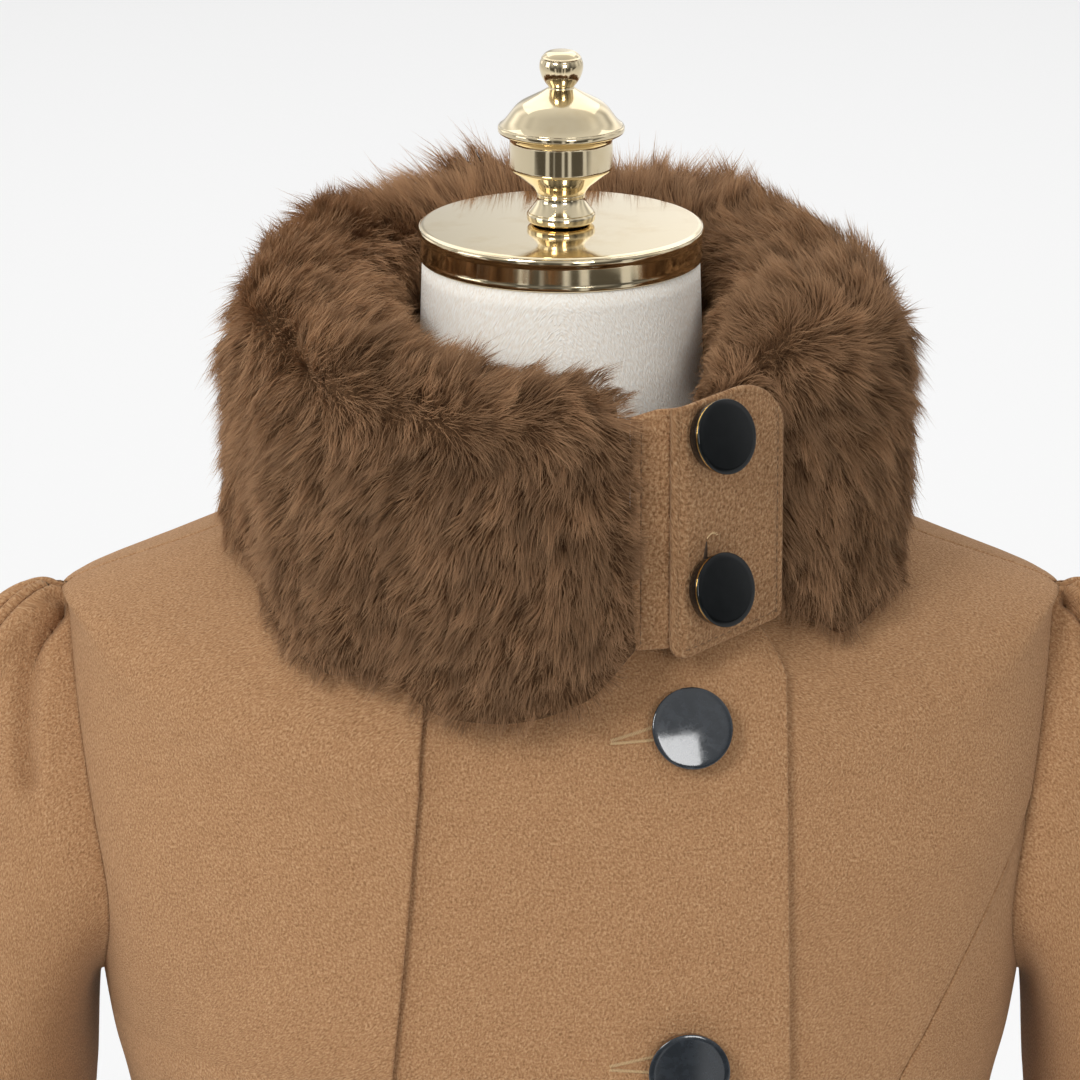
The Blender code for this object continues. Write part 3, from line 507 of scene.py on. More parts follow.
@dataclass(frozen=True)
class StudioPaper:
    """Pale matt floor that darkens far in front, in rays that show in polished metal."""

    name: str = "studio_paper"
    colour: Colour = (0.900, 0.900, 0.900)
    far: Colour = (0.120, 0.110, 0.095)
    dark_from: float = -1.9
    dark_to: float = -3.6

    def material(self) -> Material:
        """Matt paper, shaded by its distance in front and by the angle there."""
        shader = Shader(self.name)
        ways, rays = shader.fan("Object", (9.0, 0.4), (21.0, -0.6))
        distance = shader.spread(ways["Y"], self.dark_to, self.dark_from, 1.0, 0.0)
        share = distance * shader.spread(rays, 0.55, 0.15)
        colour = shader.blend(share, self.colour, self.far)
        return shader.surface(Base_Color=colour, Roughness=1.0, Specular_IOR_Level=0.0)


# Meshes


def quad_faces(rows: Array) -> Array:
    """Quads of a grid of point numbers; they face along columns' run cross rows' run."""
    corners = (rows[:-1, :-1], rows[:-1, 1:], rows[1:, 1:], rows[1:, :-1])
    return np.stack([corner.ravel() for corner in corners], axis=-1)


def triangles(quads: Array) -> Array:
    """Two triangles for each quad."""
    return np.concatenate((quads[:, [0, 1, 2]], quads[:, [0, 2, 3]]))


def unshrunk(faces: Array) -> Array:
    """True for each triangle that hasn't shrunk to a line."""
    return np.all(faces != np.roll(faces, 1, axis=1), axis=1)


@dataclass
class Shape:
    """Points and faces of one piece before it becomes an object, with a flat map of each face's corners."""

    points: Array
    faces: Array
    flat: Array | None = None
    values: dict[str, Array] = field(default_factory=dict)
    facing: Array | None = None

    def piece(self, name: str, finish: Material, slot: str, *nodes: str) -> Object:
        """Make the object, let it ride on the frame and hide the imported nodes that it replaces.

        Args:
            name: the piece's name.
            finish: its material.
            slot: not used.
            nodes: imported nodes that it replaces.

        Returns:
            The new object, at the origin.
        """
        mesh = bpy.data.meshes.new(name)
        mesh.vertices.add(len(self.points))
        mesh.vertices.foreach_set("co", np.ravel(self.points).astype(np.float32))
        mesh.loops.add(self.faces.size)
        mesh.loops.foreach_set("vertex_index", np.ravel(self.faces).astype(np.int32))
        mesh.polygons.add(len(self.faces))
        starts = np.arange(0, self.faces.size, self.faces.shape[1], dtype=np.int32)
        mesh.polygons.foreach_set("loop_start", starts)
        mesh.update(calc_edges=True)
        mesh.shade_smooth()
        if self.flat is not None:
            layer = mesh.uv_layers.new(name="flat")
            layer.data.foreach_set("uv", np.ravel(self.flat).astype(np.float32))
        for key, values in self.values.items():
            attribute = mesh.attributes.new(key, "FLOAT", "POINT")
            attribute.data.foreach_set("value", values.astype(np.float32))
        if self.facing is not None:
            mesh.normals_split_custom_set_from_vertices(self.facing)
        mesh.materials.append(finish)
        piece = bpy.data.objects.new(name, mesh)
        bpy.context.scene.collection.objects.link(piece)
        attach(piece, ROOT)
        if nodes:
            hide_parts(*nodes)
        LOG.info("%s: %d faces", name, len(self.faces))
        return piece

    def mirrored(self) -> Shape:
        """The same shape on the wearer's other side."""
        flat = None if self.flat is None else self.flat[:, ::-1] * np.array((-1.0, 1.0))
        return Shape(self.points * np.array((-1.0, 1.0, 1.0)), self.faces[:, ::-1], flat, self.values)


def joined(shapes: Sequence[Shape]) -> Shape:
    """Several shapes with equal kinds of face as one."""
    starts = np.cumsum([0] + [len(shape.points) for shape in shapes[:-1]])
    faces = np.concatenate([shape.faces + start for shape, start in zip(shapes, starts)])
    return Shape(np.concatenate([shape.points for shape in shapes]), faces)


def compact(points: Array, faces: Array, flat: Array | None = None) -> Shape:
    """Shape that keeps only the points which its faces use."""
    used, numbers = np.unique(faces, return_inverse=True)
    return Shape(points.reshape(-1, 3)[used], numbers.reshape(faces.shape), flat)


def shell(middle: Array, normal: Array, half: Array, closed: bool = False) -> Shape:
    """Closed sheet that lies half its thickness either way from a middle grid and closes at its edges.

    Args:
        middle: middle points, rows by columns by 3, facing along columns' run cross rows' run.
        normal: outward directions.
        half: half thickness at each point, zero on the edges.
        closed: true for a tube, whose last column meets the first.

    Returns:
        The shape, with a flat map in metres measured along the rows and columns.
    """
    offset = half[..., None] * normal
    first = numbered(middle)
    second = first + first.size
    second[[0, -1]] = first[[0, -1]]
    run = middle
    if closed:
        run, first, second = wrapped(run), wrapped(first), wrapped(second)
    else:
        second[:, [0, -1]] = first[:, [0, -1]]
    across = run_length(run, 1)
    across = across - across[:, run.shape[1] // 2][:, None]
    flat = np.stack((across, run_length(run, 0)), axis=-1).reshape(-1, 2)
    quads = quad_faces(numbered(run))
    faces = np.concatenate((first.ravel()[quads], second.ravel()[quads][:, ::-1]))
    flat = np.concatenate((flat[quads], flat[quads][:, ::-1]))
    return compact(np.stack((middle + offset, middle - offset)), faces, flat)


def loft(rings: Array) -> Shape:
    """Closed solid through rings of points, each end closed on its middle; flat map by turn and height."""
    ends = np.stack((rings[0].mean(axis=0), rings[-1].mean(axis=0)))[:, None]
    ends = np.broadcast_to(ends, (2, rings.shape[1], 3))
    stack = np.concatenate((ends[:1], rings, ends[1:]))
    numbers = numbered(stack)
    numbers[[0, -1]] = numbers[[0, -1], :1]
    run = wrapped(stack)
    flat = np.stack((run_length(run, 1), run_length(run, 0)), axis=-1).reshape(-1, 2)
    corners = triangles(quad_faces(numbered(run)))
    faces = wrapped(numbers).ravel()[corners]
    kept = unshrunk(faces)
    return compact(stack, faces[kept], flat[corners[kept]])


def round_edge(steps: int = 5) -> tuple[Array, Array]:
    """Quarter circle of a sheet's round edge: way in from the edge and half thickness, over its radius."""
    turn = np.linspace(0.0, 0.5 * math.pi, steps)
    return 1.0 - np.cos(turn), np.sin(turn)


def rounded_profile(corners: Sequence[Triple], steps: int = 5) -> Array:
    """Profile through corners, each rounded by a curve that starts and ends at its own distance from it.

    Args:
        corners: radius, height and rounding of each corner.
        steps: points of each rounding.

    Returns:
        Radius and height along the profile.
    """
    places, reach = np.split(np.array(corners, float), [2], axis=1)
    part = np.linspace(0.0, 1.0, steps)[:, None]
    runs = [places[:1]]
    for before, corner, after, size in zip(places, places[1:], places[2:], reach[1:]):
        start = corner + unit(before - corner) * size
        end = corner + unit(after - corner) * size
        runs.append((1.0 - part) ** 2 * start + 2.0 * part * (1.0 - part) * corner + part**2 * end)
    return np.concatenate((*runs, places[-1:]))


def turned(profile: Array, place: Any, facing: Any = (0.0, 0.0, 1.0), steps: int = 72) -> Shape:
    """Profile, from its top down the outside, carried once round an axis at a place that faces a way."""
    turn = np.linspace(0.0, 2.0 * math.pi, steps + 1)[:-1]
    axis = np.array(Vector(facing).normalized())
    side = unit(np.cross((0.0, 1.0, 0.0) if abs(axis[1]) < 0.9 else (1.0, 0.0, 0.0), axis))
    spoke = np.cos(turn)[:, None] * side + np.sin(turn)[:, None] * np.cross(axis, side)
    upwards = profile[::-1]
    rings = np.asarray(place) + upwards[:, :1, None] * spoke + upwards[:, 1:, None] * axis
    numbers = numbered(rings)
    numbers = np.where((upwards[:, 0] < 1e-9)[:, None], numbers[:, :1], numbers)
    faces = triangles(quad_faces(wrapped(numbers)))
    return compact(rings, faces[unshrunk(faces)])


def stitch_row(places: Array, heading: Array, normal: Array, length: float, width: float) -> Shape:
    """Row of stitches, each a short spindle that dips at its ends.

    Args:
        places: middles of the stitches.
        heading: their directions.
        normal: the cloth's outward directions.
        length: length of a stitch.
        width: its thickness.

    Returns:
        All stitches as one shape.
    """
    along = np.linspace(-0.5, 0.5, 6)
    thick = np.sqrt(np.maximum(1.0 - (2.0 * along) ** 2, 0.03))
    turn = np.linspace(0.0, 2.0 * math.pi, 7)[:-1]
    heading, normal = unit(heading), unit(normal)
    side = np.cross(normal, heading)
    lift = 0.32 * width * (thick - 0.35)
    middle = places[:, None] + along[:, None] * length * heading[:, None] + lift[:, None] * normal[:, None]
    ring = np.cos(turn)[:, None] * side[:, None, None] + np.sin(turn)[:, None] * normal[:, None, None]
    points = middle[:, :, None] + 0.5 * width * thick[:, None, None] * ring
    quads = quad_faces(wrapped(numbered(points[0])))
    starts = points[0, ..., 0].size * np.arange(len(places))
    return Shape(points.reshape(-1, 3), (quads + starts[:, None, None]).reshape(-1, 4))


# The coat's body


class Level(IntEnum):
    """Named rings of the coat from its hem up."""

    HEM = 0
    THIGH = 1
    HIP = 2
    HIGH_HIP = 3
    WAIST = 4
    UNDERBUST = 5
    BUST = 6
    UNDERARM = 7
    CHEST = 8
    ARMHOLE_TOP = 9
    SHOULDER_TIP = 10
    SHOULDER = 11
    NECKLINE = 12


class Ring(NamedTuple):
    """One ring of the coat's outside; depths are from the neck's axis."""

    side_z: float
    front_z: float
    back_z: float
    half_width: float
    front_depth: float
    back_depth: float
    squareness: float


class Flute(NamedTuple):
    """A soft flute of the skirt, at its height on the hem."""

    angle_deg: float
    half_width_deg: float
    height: float


class Crease(NamedTuple):
    """A soft ridge (trough, with a negative height) on the body, round in section and fading to its ends."""

    angle_deg: float
    z: float
    half_length: float
    half_width: float
    height: float
    slant_deg: float


@dataclass(frozen=True)
class CoatBody:
    """The coat's outside: oval rings from hem to neckline, with flutes and creases."""

    cloth: float = 0.0025
    seam: float = 0.0003
    lap_step: float = 0.0031
    armhole_front: float = 0.070
    armhole_back: float = 0.066
    armhole_egg: float = 0.66
    lapped_edge: Pair = (-0.0472, -0.1400)
    lapped_under_margin: float = 0.018
    under_front_edge: Pair = (-0.0150, -0.0150)
    front_edge: Pair = (0.0830, 0.0960)
    front_corner: Pair = (0.0200, 0.0255)
    princess_top: float = 0.56
    princess_end_width: float = 0.0008
    soften: float = 1.0
    soften_reach: float = 2.4
    soften_shares: tuple[Pair, ...] = ((-1.0, 1.0), (-0.5, 2.0), (0.0, 3.0), (0.5, 2.0), (1.0, 1.0))
    princess_seam: tuple[tuple[Level, float], ...] = (
        (Level.HEM, 0.185),
        (Level.HIP, 0.136),
        (Level.WAIST, 0.106),
        (Level.BUST, 0.119),
        (Level.UNDERARM, 0.134),
    )
    rings: tuple[Ring, ...] = (
        Ring(0.340, 0.340, 0.340, 0.285, 0.250, 0.245, 2.00),
        Ring(0.560, 0.560, 0.560, 0.250, 0.212, 0.208, 2.05),
        Ring(0.765, 0.765, 0.765, 0.208, 0.163, 0.160, 2.15),
        Ring(0.865, 0.865, 0.865, 0.179, 0.136, 0.132, 2.20),
        Ring(0.955, 0.955, 0.955, 0.156, 0.114, 0.104, 2.20),
        Ring(1.040, 1.040, 1.040, 0.163, 0.127, 0.106, 2.30),
        Ring(1.100, 1.100, 1.100, 0.174, 0.143, 0.112, 2.40),
        Ring(1.135, 1.145, 1.145, 0.181, 0.144, 0.115, 2.50),
        Ring(1.215, 1.205, 1.220, 0.190, 0.135, 0.113, 2.60),
        Ring(1.284, 1.248, 1.278, 0.1930, 0.126, 0.105, 1.95),
        Ring(1.297, 1.258, 1.289, 0.1915, 0.124, 0.103, 1.80),
        Ring(1.315, 1.284, 1.322, 0.143, 0.115, 0.092, 1.80),
        Ring(1.3335, 1.304, 1.349, 0.096, 0.105, 0.082, 1.90),
    )
    flutes: tuple[Flute, ...] = (
        Flute(-148.0, 22.0, 0.017),
        Flute(-106.0, 20.0, 0.013),
        Flute(-66.0, 21.0, 0.016),
        Flute(-28.0, 16.0, 0.007),
        Flute(34.0, 18.0, 0.009),
        Flute(71.0, 20.0, 0.016),
        Flute(112.0, 21.0, 0.012),
        Flute(154.0, 23.0, 0.018),
    )
    creases: tuple[Crease, ...] = (
        Crease(-34.0, 1.185, 0.075, 0.020, -0.0011, 24.0),
        Crease(-50.0, 1.150, 0.060, 0.018, -0.0014, 38.0),
        Crease(-12.0, 1.150, 0.085, 0.024, 0.0010, 8.0),
        Crease(30.0, 1.170, 0.070, 0.020, -0.0011, -28.0),
        Crease(48.0, 1.120, 0.060, 0.018, -0.0014, -40.0),
        Crease(-42.0, 1.010, 0.080, 0.016, -0.0026, 68.0),
        Crease(-70.0, 0.975, 0.070, 0.014, -0.0030, 80.0),
        Crease(40.0, 0.985, 0.085, 0.016, -0.0026, -72.0),
        Crease(72.0, 1.005, 0.065, 0.014, -0.0028, -60.0),
        Crease(6.0, 0.890, 0.110, 0.020, -0.0022, 6.0),
        Crease(-26.0, 0.700, 0.200, 0.026, -0.0030, 4.0),
        Crease(52.0, 0.620, 0.210, 0.030, -0.0034, -5.0),
        Crease(150.0, 1.180, 0.080, 0.018, -0.0020, 22.0),
        Crease(-146.0, 1.165, 0.085, 0.019, -0.0022, -26.0),
        Crease(136.0, 1.000, 0.075, 0.015, -0.0030, 66.0),
        Crease(-160.0, 0.985, 0.085, 0.015, -0.0028, -76.0),
        Crease(-124.0, 0.960, 0.070, 0.014, -0.0030, -58.0),
        Crease(170.0, 0.700, 0.210, 0.028, -0.0032, 3.0),
        Crease(-130.0, 0.600, 0.200, 0.030, -0.0036, 6.0),
    )

    def section(self, level: Array) -> Ring:
        """Columns of the ring table at any level."""
        return Ring(*np.moveaxis(smooth_rows(range(len(self.rings)), self.rings, level), -1, 0))

    def flute_height(self, level: Array, angle: Array) -> Array:
        """How far the skirt's flutes stand out: round bumps that fade from the hem to the high hip."""
        degrees = np.degrees(angle)
        out = np.zeros(np.broadcast(level, angle).shape)
        for flute in self.flutes:
            distance = (degrees - flute.angle_deg + 180.0) % 360.0 - 180.0
            out = out + flute.height * bump(distance, flute.half_width_deg)
        fade = np.clip((Level.HIGH_HIP - level) / Level.HIGH_HIP, 0.0, 1.0)
        return out * fade**1.4

    def surface(self, level: Any, angle: Any) -> Array:
        """The rings, averaged over nearby levels at the shoulder's front and back, as soft cloth bends."""
        level, angle = np.broadcast_arrays(np.asarray(level, float), np.asarray(angle, float))
        beside = smooth_step(np.abs(np.cos(angle)), 0.10, 0.45)
        reach = self.soften * bump(level - Level.SHOULDER_TIP, self.soften_reach) * beside
        shares = self.soften_shares
        whole = sum(share for step, share in shares)
        return sum(share / whole * self.oval(level + step * reach, angle) for step, share in shares)

    def oval(self, level: Array, angle: Array) -> Array:
        """Oval ring: powers of sine and cosine by its squareness, angle 0 in front and 90 degrees at +X."""
        ring = self.section(level)
        sine, cosine = np.sin(angle), np.cos(angle)
        power = 2.0 / ring.squareness
        in_front = cosine > 0.0
        depth = np.where(in_front, ring.front_depth, ring.back_depth)
        middle_z = np.where(in_front, ring.front_z, ring.back_z)
        x = ring.half_width * signed_power(sine, power)
        y = -depth * signed_power(cosine, power)
        z = ring.side_z + (middle_z - ring.side_z) * cosine**2
        scale = 1.0 + self.flute_height(level, angle) / np.hypot(x, y)
        return np.stack((x * scale, y * scale, z), axis=-1)

    def normal(self, level: Any, angle: Any) -> Array:
        """Outward direction, from the surface's slopes along and up."""
        step = 1e-4
        along = self.surface(level, angle + step) - self.surface(level, angle - step)
        rise = self.surface(level + step, angle) - self.surface(level - step, angle)
        return unit(np.cross(unit(along), unit(rise)))

    def point(self, level: Any, angle: Any, out: Any = 0.0) -> Array:
        """A point of the surface, moved out along its normal."""
        level, angle = np.broadcast_arrays(np.asarray(level, float), np.asarray(angle, float))
        inside = np.clip(level, 1e-3, Level.NECKLINE - 1e-3)
        return self.surface(level, angle) + np.asarray(out)[..., None] * self.normal(inside, angle)

    def level_at(self, angle: float, z: Any) -> Array:
        """Level at which the surface reaches a height at one angle."""
        levels = np.linspace(0.0, Level.NECKLINE, 500)
        return np.interp(z, self.surface(levels, angle)[:, 2], levels)

    def relief(self, level: Any, angle: Any) -> Array:
        """Height of all creases: a round bump across each line times a round bump along it."""
        points = self.surface(level, angle)
        total = np.zeros(points.shape[:-1])
        for crease in self.creases:
            turn, slant = math.radians(crease.angle_deg), math.radians(crease.slant_deg)
            at = self.level_at(turn, crease.z)
            facing = self.normal(at, turn)
            reach = points - self.surface(at, turn)
            sideways = reach @ unit(np.cross((0.0, 0.0, 1.0), facing))
            across = sideways * math.cos(slant) - reach[..., 2] * math.sin(slant)
            along = sideways * math.sin(slant) + reach[..., 2] * math.cos(slant)
            line = bump(across, crease.half_width) * bump(along, crease.half_length)
            total = total + crease.height * line * (reach @ facing > -0.12)
        return total

    def angle_at(self, level: Array, distance: Any) -> Array:
        """Angle of the front surface at a distance from the middle: the oval's own, then slope steps."""
        ring = self.section(level)
        part = np.clip(np.abs(distance) / ring.half_width, 0.0, 1.0)
        angle = np.sign(distance) * np.arcsin(part ** (ring.squareness / 2.0))
        step = 1e-3
        for _ in range(4):
            low, high = self.surface(level, angle - step)[..., 0], self.surface(level, angle + step)[..., 0]
            slope = np.maximum((high - low) / (2.0 * step), 0.02)
            angle = angle + np.clip((distance - 0.5 * (low + high)) / slope, -0.05, 0.05)
        return angle

    def side_edge(self, level: Array, front: bool) -> Array:
        """Angle of a panel's side: half a gap from the side seam, the armhole's edge, the shoulder seam."""
        ring = self.section(level)
        low, top = self.rings[Level.UNDERARM].side_z, self.rings[Level.SHOULDER_TIP].side_z
        part = np.clip((ring.side_z - low) / (top - low), 0.0, 1.0)
        part = np.where(level > Level.SHOULDER_TIP, 1.0, part)
        widest = self.armhole_front if front else self.armhole_back
        reach = np.maximum(widest * np.sin(math.pi * part**self.armhole_egg), 0.5 * self.seam)
        depth = ring.front_depth if front else ring.back_depth
        angle = np.arccos(np.clip(reach / depth, 0.0, 1.0) ** (ring.squareness / 2.0))
        return angle if front else math.pi - angle

    def armhole_level(self, part: Any) -> Array:
        """Level at a part of the armhole's height, from the underarm to the shoulder's tip."""
        levels = np.linspace(Level.UNDERARM, Level.SHOULDER_TIP, 600)
        low, top = self.rings[Level.UNDERARM].side_z, self.rings[Level.SHOULDER_TIP].side_z
        return np.interp(low + np.asarray(part) * (top - low), self.section(levels).side_z, levels)

    def speed(self, level: Array, angle: Array) -> Array:
        """Length travelled along a ring for each radian."""
        step = 1e-3
        along = self.surface(level, angle + step) - self.surface(level, angle - step)
        return np.linalg.norm(along, axis=-1) / (2.0 * step)

    def straight_edge(self, level: Array, ends: Pair) -> Array:
        """Distance from the middle of an edge that runs straight from the neckline to the hem."""
        top, low = self.rings[Level.NECKLINE].front_z, self.rings[Level.HEM].front_z
        return ends[0] + (ends[1] - ends[0]) * (top - self.section(level).front_z) / (top - low)

    def cut_away(self, level: Array) -> Array:
        """How far the front edge curves back to the neckline: a power of the way up the corner's height."""
        width, height = self.front_corner
        way = (self.section(level).front_z - self.rings[Level.NECKLINE].front_z) / height + 1.0
        return width * np.clip(way, 0.0, 1.0) ** 1.3

    def front_edges(self, level: Array) -> dict[str, Array]:
        """Angles of the front's edges at any level, from the wearer's right side seam to the left one."""
        levels, edges = self.edge_table
        return {name: np.interp(level, levels, angles) for name, angles in edges.items()}

    @cached_property
    def edge_table(self) -> tuple[Array, dict[str, Array]]:
        """Levels close together, and the angle of each front edge at them."""
        level = np.linspace(0.0, Level.NECKLINE, 2401)
        side = self.side_edge(level, True)
        top = self.armhole_level(self.princess_top)
        end = self.surface(top, self.side_edge(top, True))[0] - self.princess_end_width
        keys, distances = np.array([*self.princess_seam, (top, end)], float).T
        princess = self.angle_at(level, smooth_rows(keys, distances[:, None], level)[..., 0])
        lapped = self.straight_edge(level, self.lapped_edge)
        front = self.straight_edge(level, self.front_edge) - self.cut_away(level)
        return level, {
            "right_side": -side,
            "lapped_margin": self.angle_at(level, lapped - self.lapped_under_margin),
            "lapped_edge": self.angle_at(level, lapped),
            "under_front": self.angle_at(level, self.straight_edge(level, self.under_front_edge)),
            "front_edge": self.angle_at(level, front),
            "princess": np.where(level < top + 1e-6, princess, side),
            "left_side": side,
        }

    def right_rise(self, level: Array, angle: Array) -> Array:
        """How far the right side piece has risen to lie on the centre piece, from its side to its edge."""
        edges = self.front_edges(level)
        part = (angle - edges["right_side"]) / (edges["lapped_margin"] - edges["right_side"])
        return 2.0 * self.lap_step * smooth_step(part, 0.35, 0.65)

    def outermost(self, level: Array, angle: Array) -> Array:
        """How far the top layer of cloth lies out from the body surface on the coat's front."""
        edges = self.front_edges(level)
        lapped = np.where(angle < edges["lapped_edge"], self.right_rise(level, angle), self.lap_step)
        on_front = (angle < edges["front_edge"]) & (angle > edges["right_side"])
        return np.where(on_front, lapped, 0.0)

    def profile(self, polar: float) -> tuple[Array, Array]:
        """Radius and height of the coat's outside below the neckline, looking out at one polar angle."""
        levels = np.linspace(Level.NECKLINE, Level.SHOULDER_TIP, 40)
        ring = self.section(levels)
        in_front = math.cos(polar) > 0.0
        depth = ring.front_depth if in_front else ring.back_depth
        ratio = abs(math.tan(polar)) * depth / ring.half_width
        turn = np.arctan(ratio ** (ring.squareness / 2.0))
        angle = np.copysign(turn if in_front else math.pi - turn, polar)
        asides = np.radians((-9.0, -4.0, 0.0, 4.0, 9.0))
        points = self.point(levels, angle, self.outermost(levels, angle + asides[:, None]).max(axis=0))
        return np.hypot(points[:, 0], points[:, 1]), points[:, 2]


class Cut(NamedTuple):
    """A piece as it was cut flat: width, length and the share of that rectangle which it fills."""

    width: float
    length: float
    share: float

    def declare(self, piece: Object, held: str, carrier: str) -> None:
        """Take a piece, how it is held and what carries it; nothing is recorded."""


@dataclass(frozen=True)
class CoatPanels:
    """The six panels of the coat's body, each a thin shell with round edges on the body surface."""

    body: CoatBody
    skirt_rows: int = 64
    armhole_rows: int = 46
    shoulder_rows: int = 26
    columns: int = 26
    edge_roll: float = 0.0011
    edge_roll_width: float = 0.0062
    hem_level_size: float = 0.22
    neck_level_size: float = 0.030
    cuts: tuple[tuple[str, Cut], ...] = (
        ("front_right_side", Cut(0.30, 1.00, 0.62)),
        ("front_right_centre", Cut(0.26, 0.98, 0.80)),
        ("front_left", Cut(0.22, 0.98, 0.70)),
        ("side_front_left", Cut(0.24, 0.90, 0.45)),
        ("back_left", Cut(0.46, 1.04, 0.61)),
        ("back_right", Cut(0.46, 1.04, 0.61)),
    )

    def levels(self) -> Array:
        """Levels of all rows: even on skirt and shoulder, crowded at both ends of the armhole."""
        skirt = np.linspace(0.0, Level.UNDERARM, self.skirt_rows + 1)[:-1]
        swing = 0.5 - 0.5 * np.cos(np.linspace(0.0, math.pi, self.armhole_rows))
        shoulder = np.linspace(Level.SHOULDER_TIP, Level.NECKLINE, self.shoulder_rows + 1)[1:]
        rows = np.concatenate((skirt, self.body.armhole_level(swing), shoulder))
        way_in = 0.5 * self.body.cloth * round_edge()[0]
        hem, neck = way_in / self.hem_level_size, Level.NECKLINE - way_in[::-1] / self.neck_level_size
        kept = rows[(rows > hem[-1] + 0.01) & (rows < neck[0] - 0.01)]
        return np.concatenate((hem, kept, neck))

    def panel(
        self, levels: Array, start: Array, end: Array, out: Callable | float = 0.0, rolled: bool = False
    ) -> Shape:
        """Thin shell between two edges: columns crowd into a quarter circle at each of them.

        Args:
            levels: levels of the rows.
            start: angle of the first edge at each level.
            end: angle of the last edge at each level.
            out: how far out the cloth's outside lies, or a function of level and angle for it.
            rolled: true where the last edge is turned under and so stands a little fuller.

        Returns:
            The shape of the panel.
        """
        body = self.body
        way_in, thick = round_edge()
        rows = levels[:, None]
        width = (end - start) * body.speed(levels, 0.5 * (start + end))
        radius = np.minimum(0.5 * body.cloth, 0.24 * width)[:, None]
        low = start[:, None] + radius * way_in / body.speed(levels, start)[:, None]
        high = (end[:, None] - radius * way_in / body.speed(levels, end)[:, None])[:, ::-1]
        part = np.linspace(0.0, 1.0, self.columns + 1)[1:-1]
        between = low[:, -1:] + (high[:, :1] - low[:, -1:]) * part
        angles = np.concatenate((low, between, high), axis=1)
        column_thick = np.concatenate((thick, np.ones(part.shape), thick[::-1]))
        row_thick = np.concatenate((thick, np.ones(len(levels) - 2 * len(thick)), thick[::-1]))
        half = radius * np.minimum(row_thick[:, None], column_thick)
        rise = out(rows, angles) if callable(out) else out
        height = rise + body.relief(rows, angles) - 0.5 * body.cloth
        if rolled:
            from_edge = np.abs(angles - angles[:, -1:]) * body.speed(rows, angles)
            fuller = bump(from_edge - 0.45 * self.edge_roll_width, self.edge_roll_width)
            height = height + self.edge_roll * fuller
        middle = body.point(rows, angles, height)
        return shell(middle, grid_frame(middle)[2], half)

    def shapes(self) -> dict[str, Shape]:
        """All panels by name."""
        body = self.body
        levels = self.levels()
        edges = body.front_edges(levels)
        gap = 0.5 * body.seam / body.speed(levels, edges["princess"])
        low_rows = levels < body.armhole_level(body.princess_top)
        back_side = body.side_edge(levels, False)
        middle_back = math.pi - body.angle_at(levels, 0.5 * body.seam)
        right = (edges["right_side"], edges["lapped_edge"])
        centre = (edges["lapped_margin"], edges["front_edge"])
        left = (edges["under_front"], edges["princess"] - np.where(low_rows, gap, 0.0))
        side = (edges["princess"][low_rows] + gap[low_rows], edges["left_side"][low_rows])
        return {
            "front_right_side": self.panel(levels, *right, body.right_rise, True),
            "front_right_centre": self.panel(levels, *centre, body.lap_step, True),
            "front_left": self.panel(levels, *left),
            "side_front_left": self.panel(levels[low_rows], *side),
            "back_left": self.panel(levels, back_side, middle_back),
            "back_right": self.panel(levels, -middle_back, -back_side),
        }

    def dress(self, wool: Material) -> None:
        """Make the panels."""
        cuts = dict(self.cuts)
        for name, shape in self.shapes().items():
            piece = shape.piece(f"{name}_cloth", wool, "camel_wool", name)
            cuts[name].declare(piece, "draped", "form_torso")


# Sleeves


class View(Enum):
    """The side from which a fold line is drawn, as the way that cloth under it faces on the left sleeve."""

    FRONT = (0.0, -1.0)
    BACK = (0.0, 1.0)
    OUTSIDE = (1.0, 0.0)


FRONT, BACK, OUTSIDE = View


class Pleat(NamedTuple):
    """A pleat of the sleeve head: its place round the armhole from the top, front positive, and its fan."""

    place: float
    drift: float
    near: float
    far: float
    spread: float
    height: float


class Fold(NamedTuple):
    """A trough's line on one view of a sleeve, x and z from front or back, y and z from outside."""

    view: View
    line: tuple[Pair, ...]
    half_width: float
    height: float


class ArmRing(NamedTuple):
    """One ring of the hanging sleeve."""

    centre_x: float
    centre_y: float
    centre_z: float
    half_thickness: float
    half_depth: float


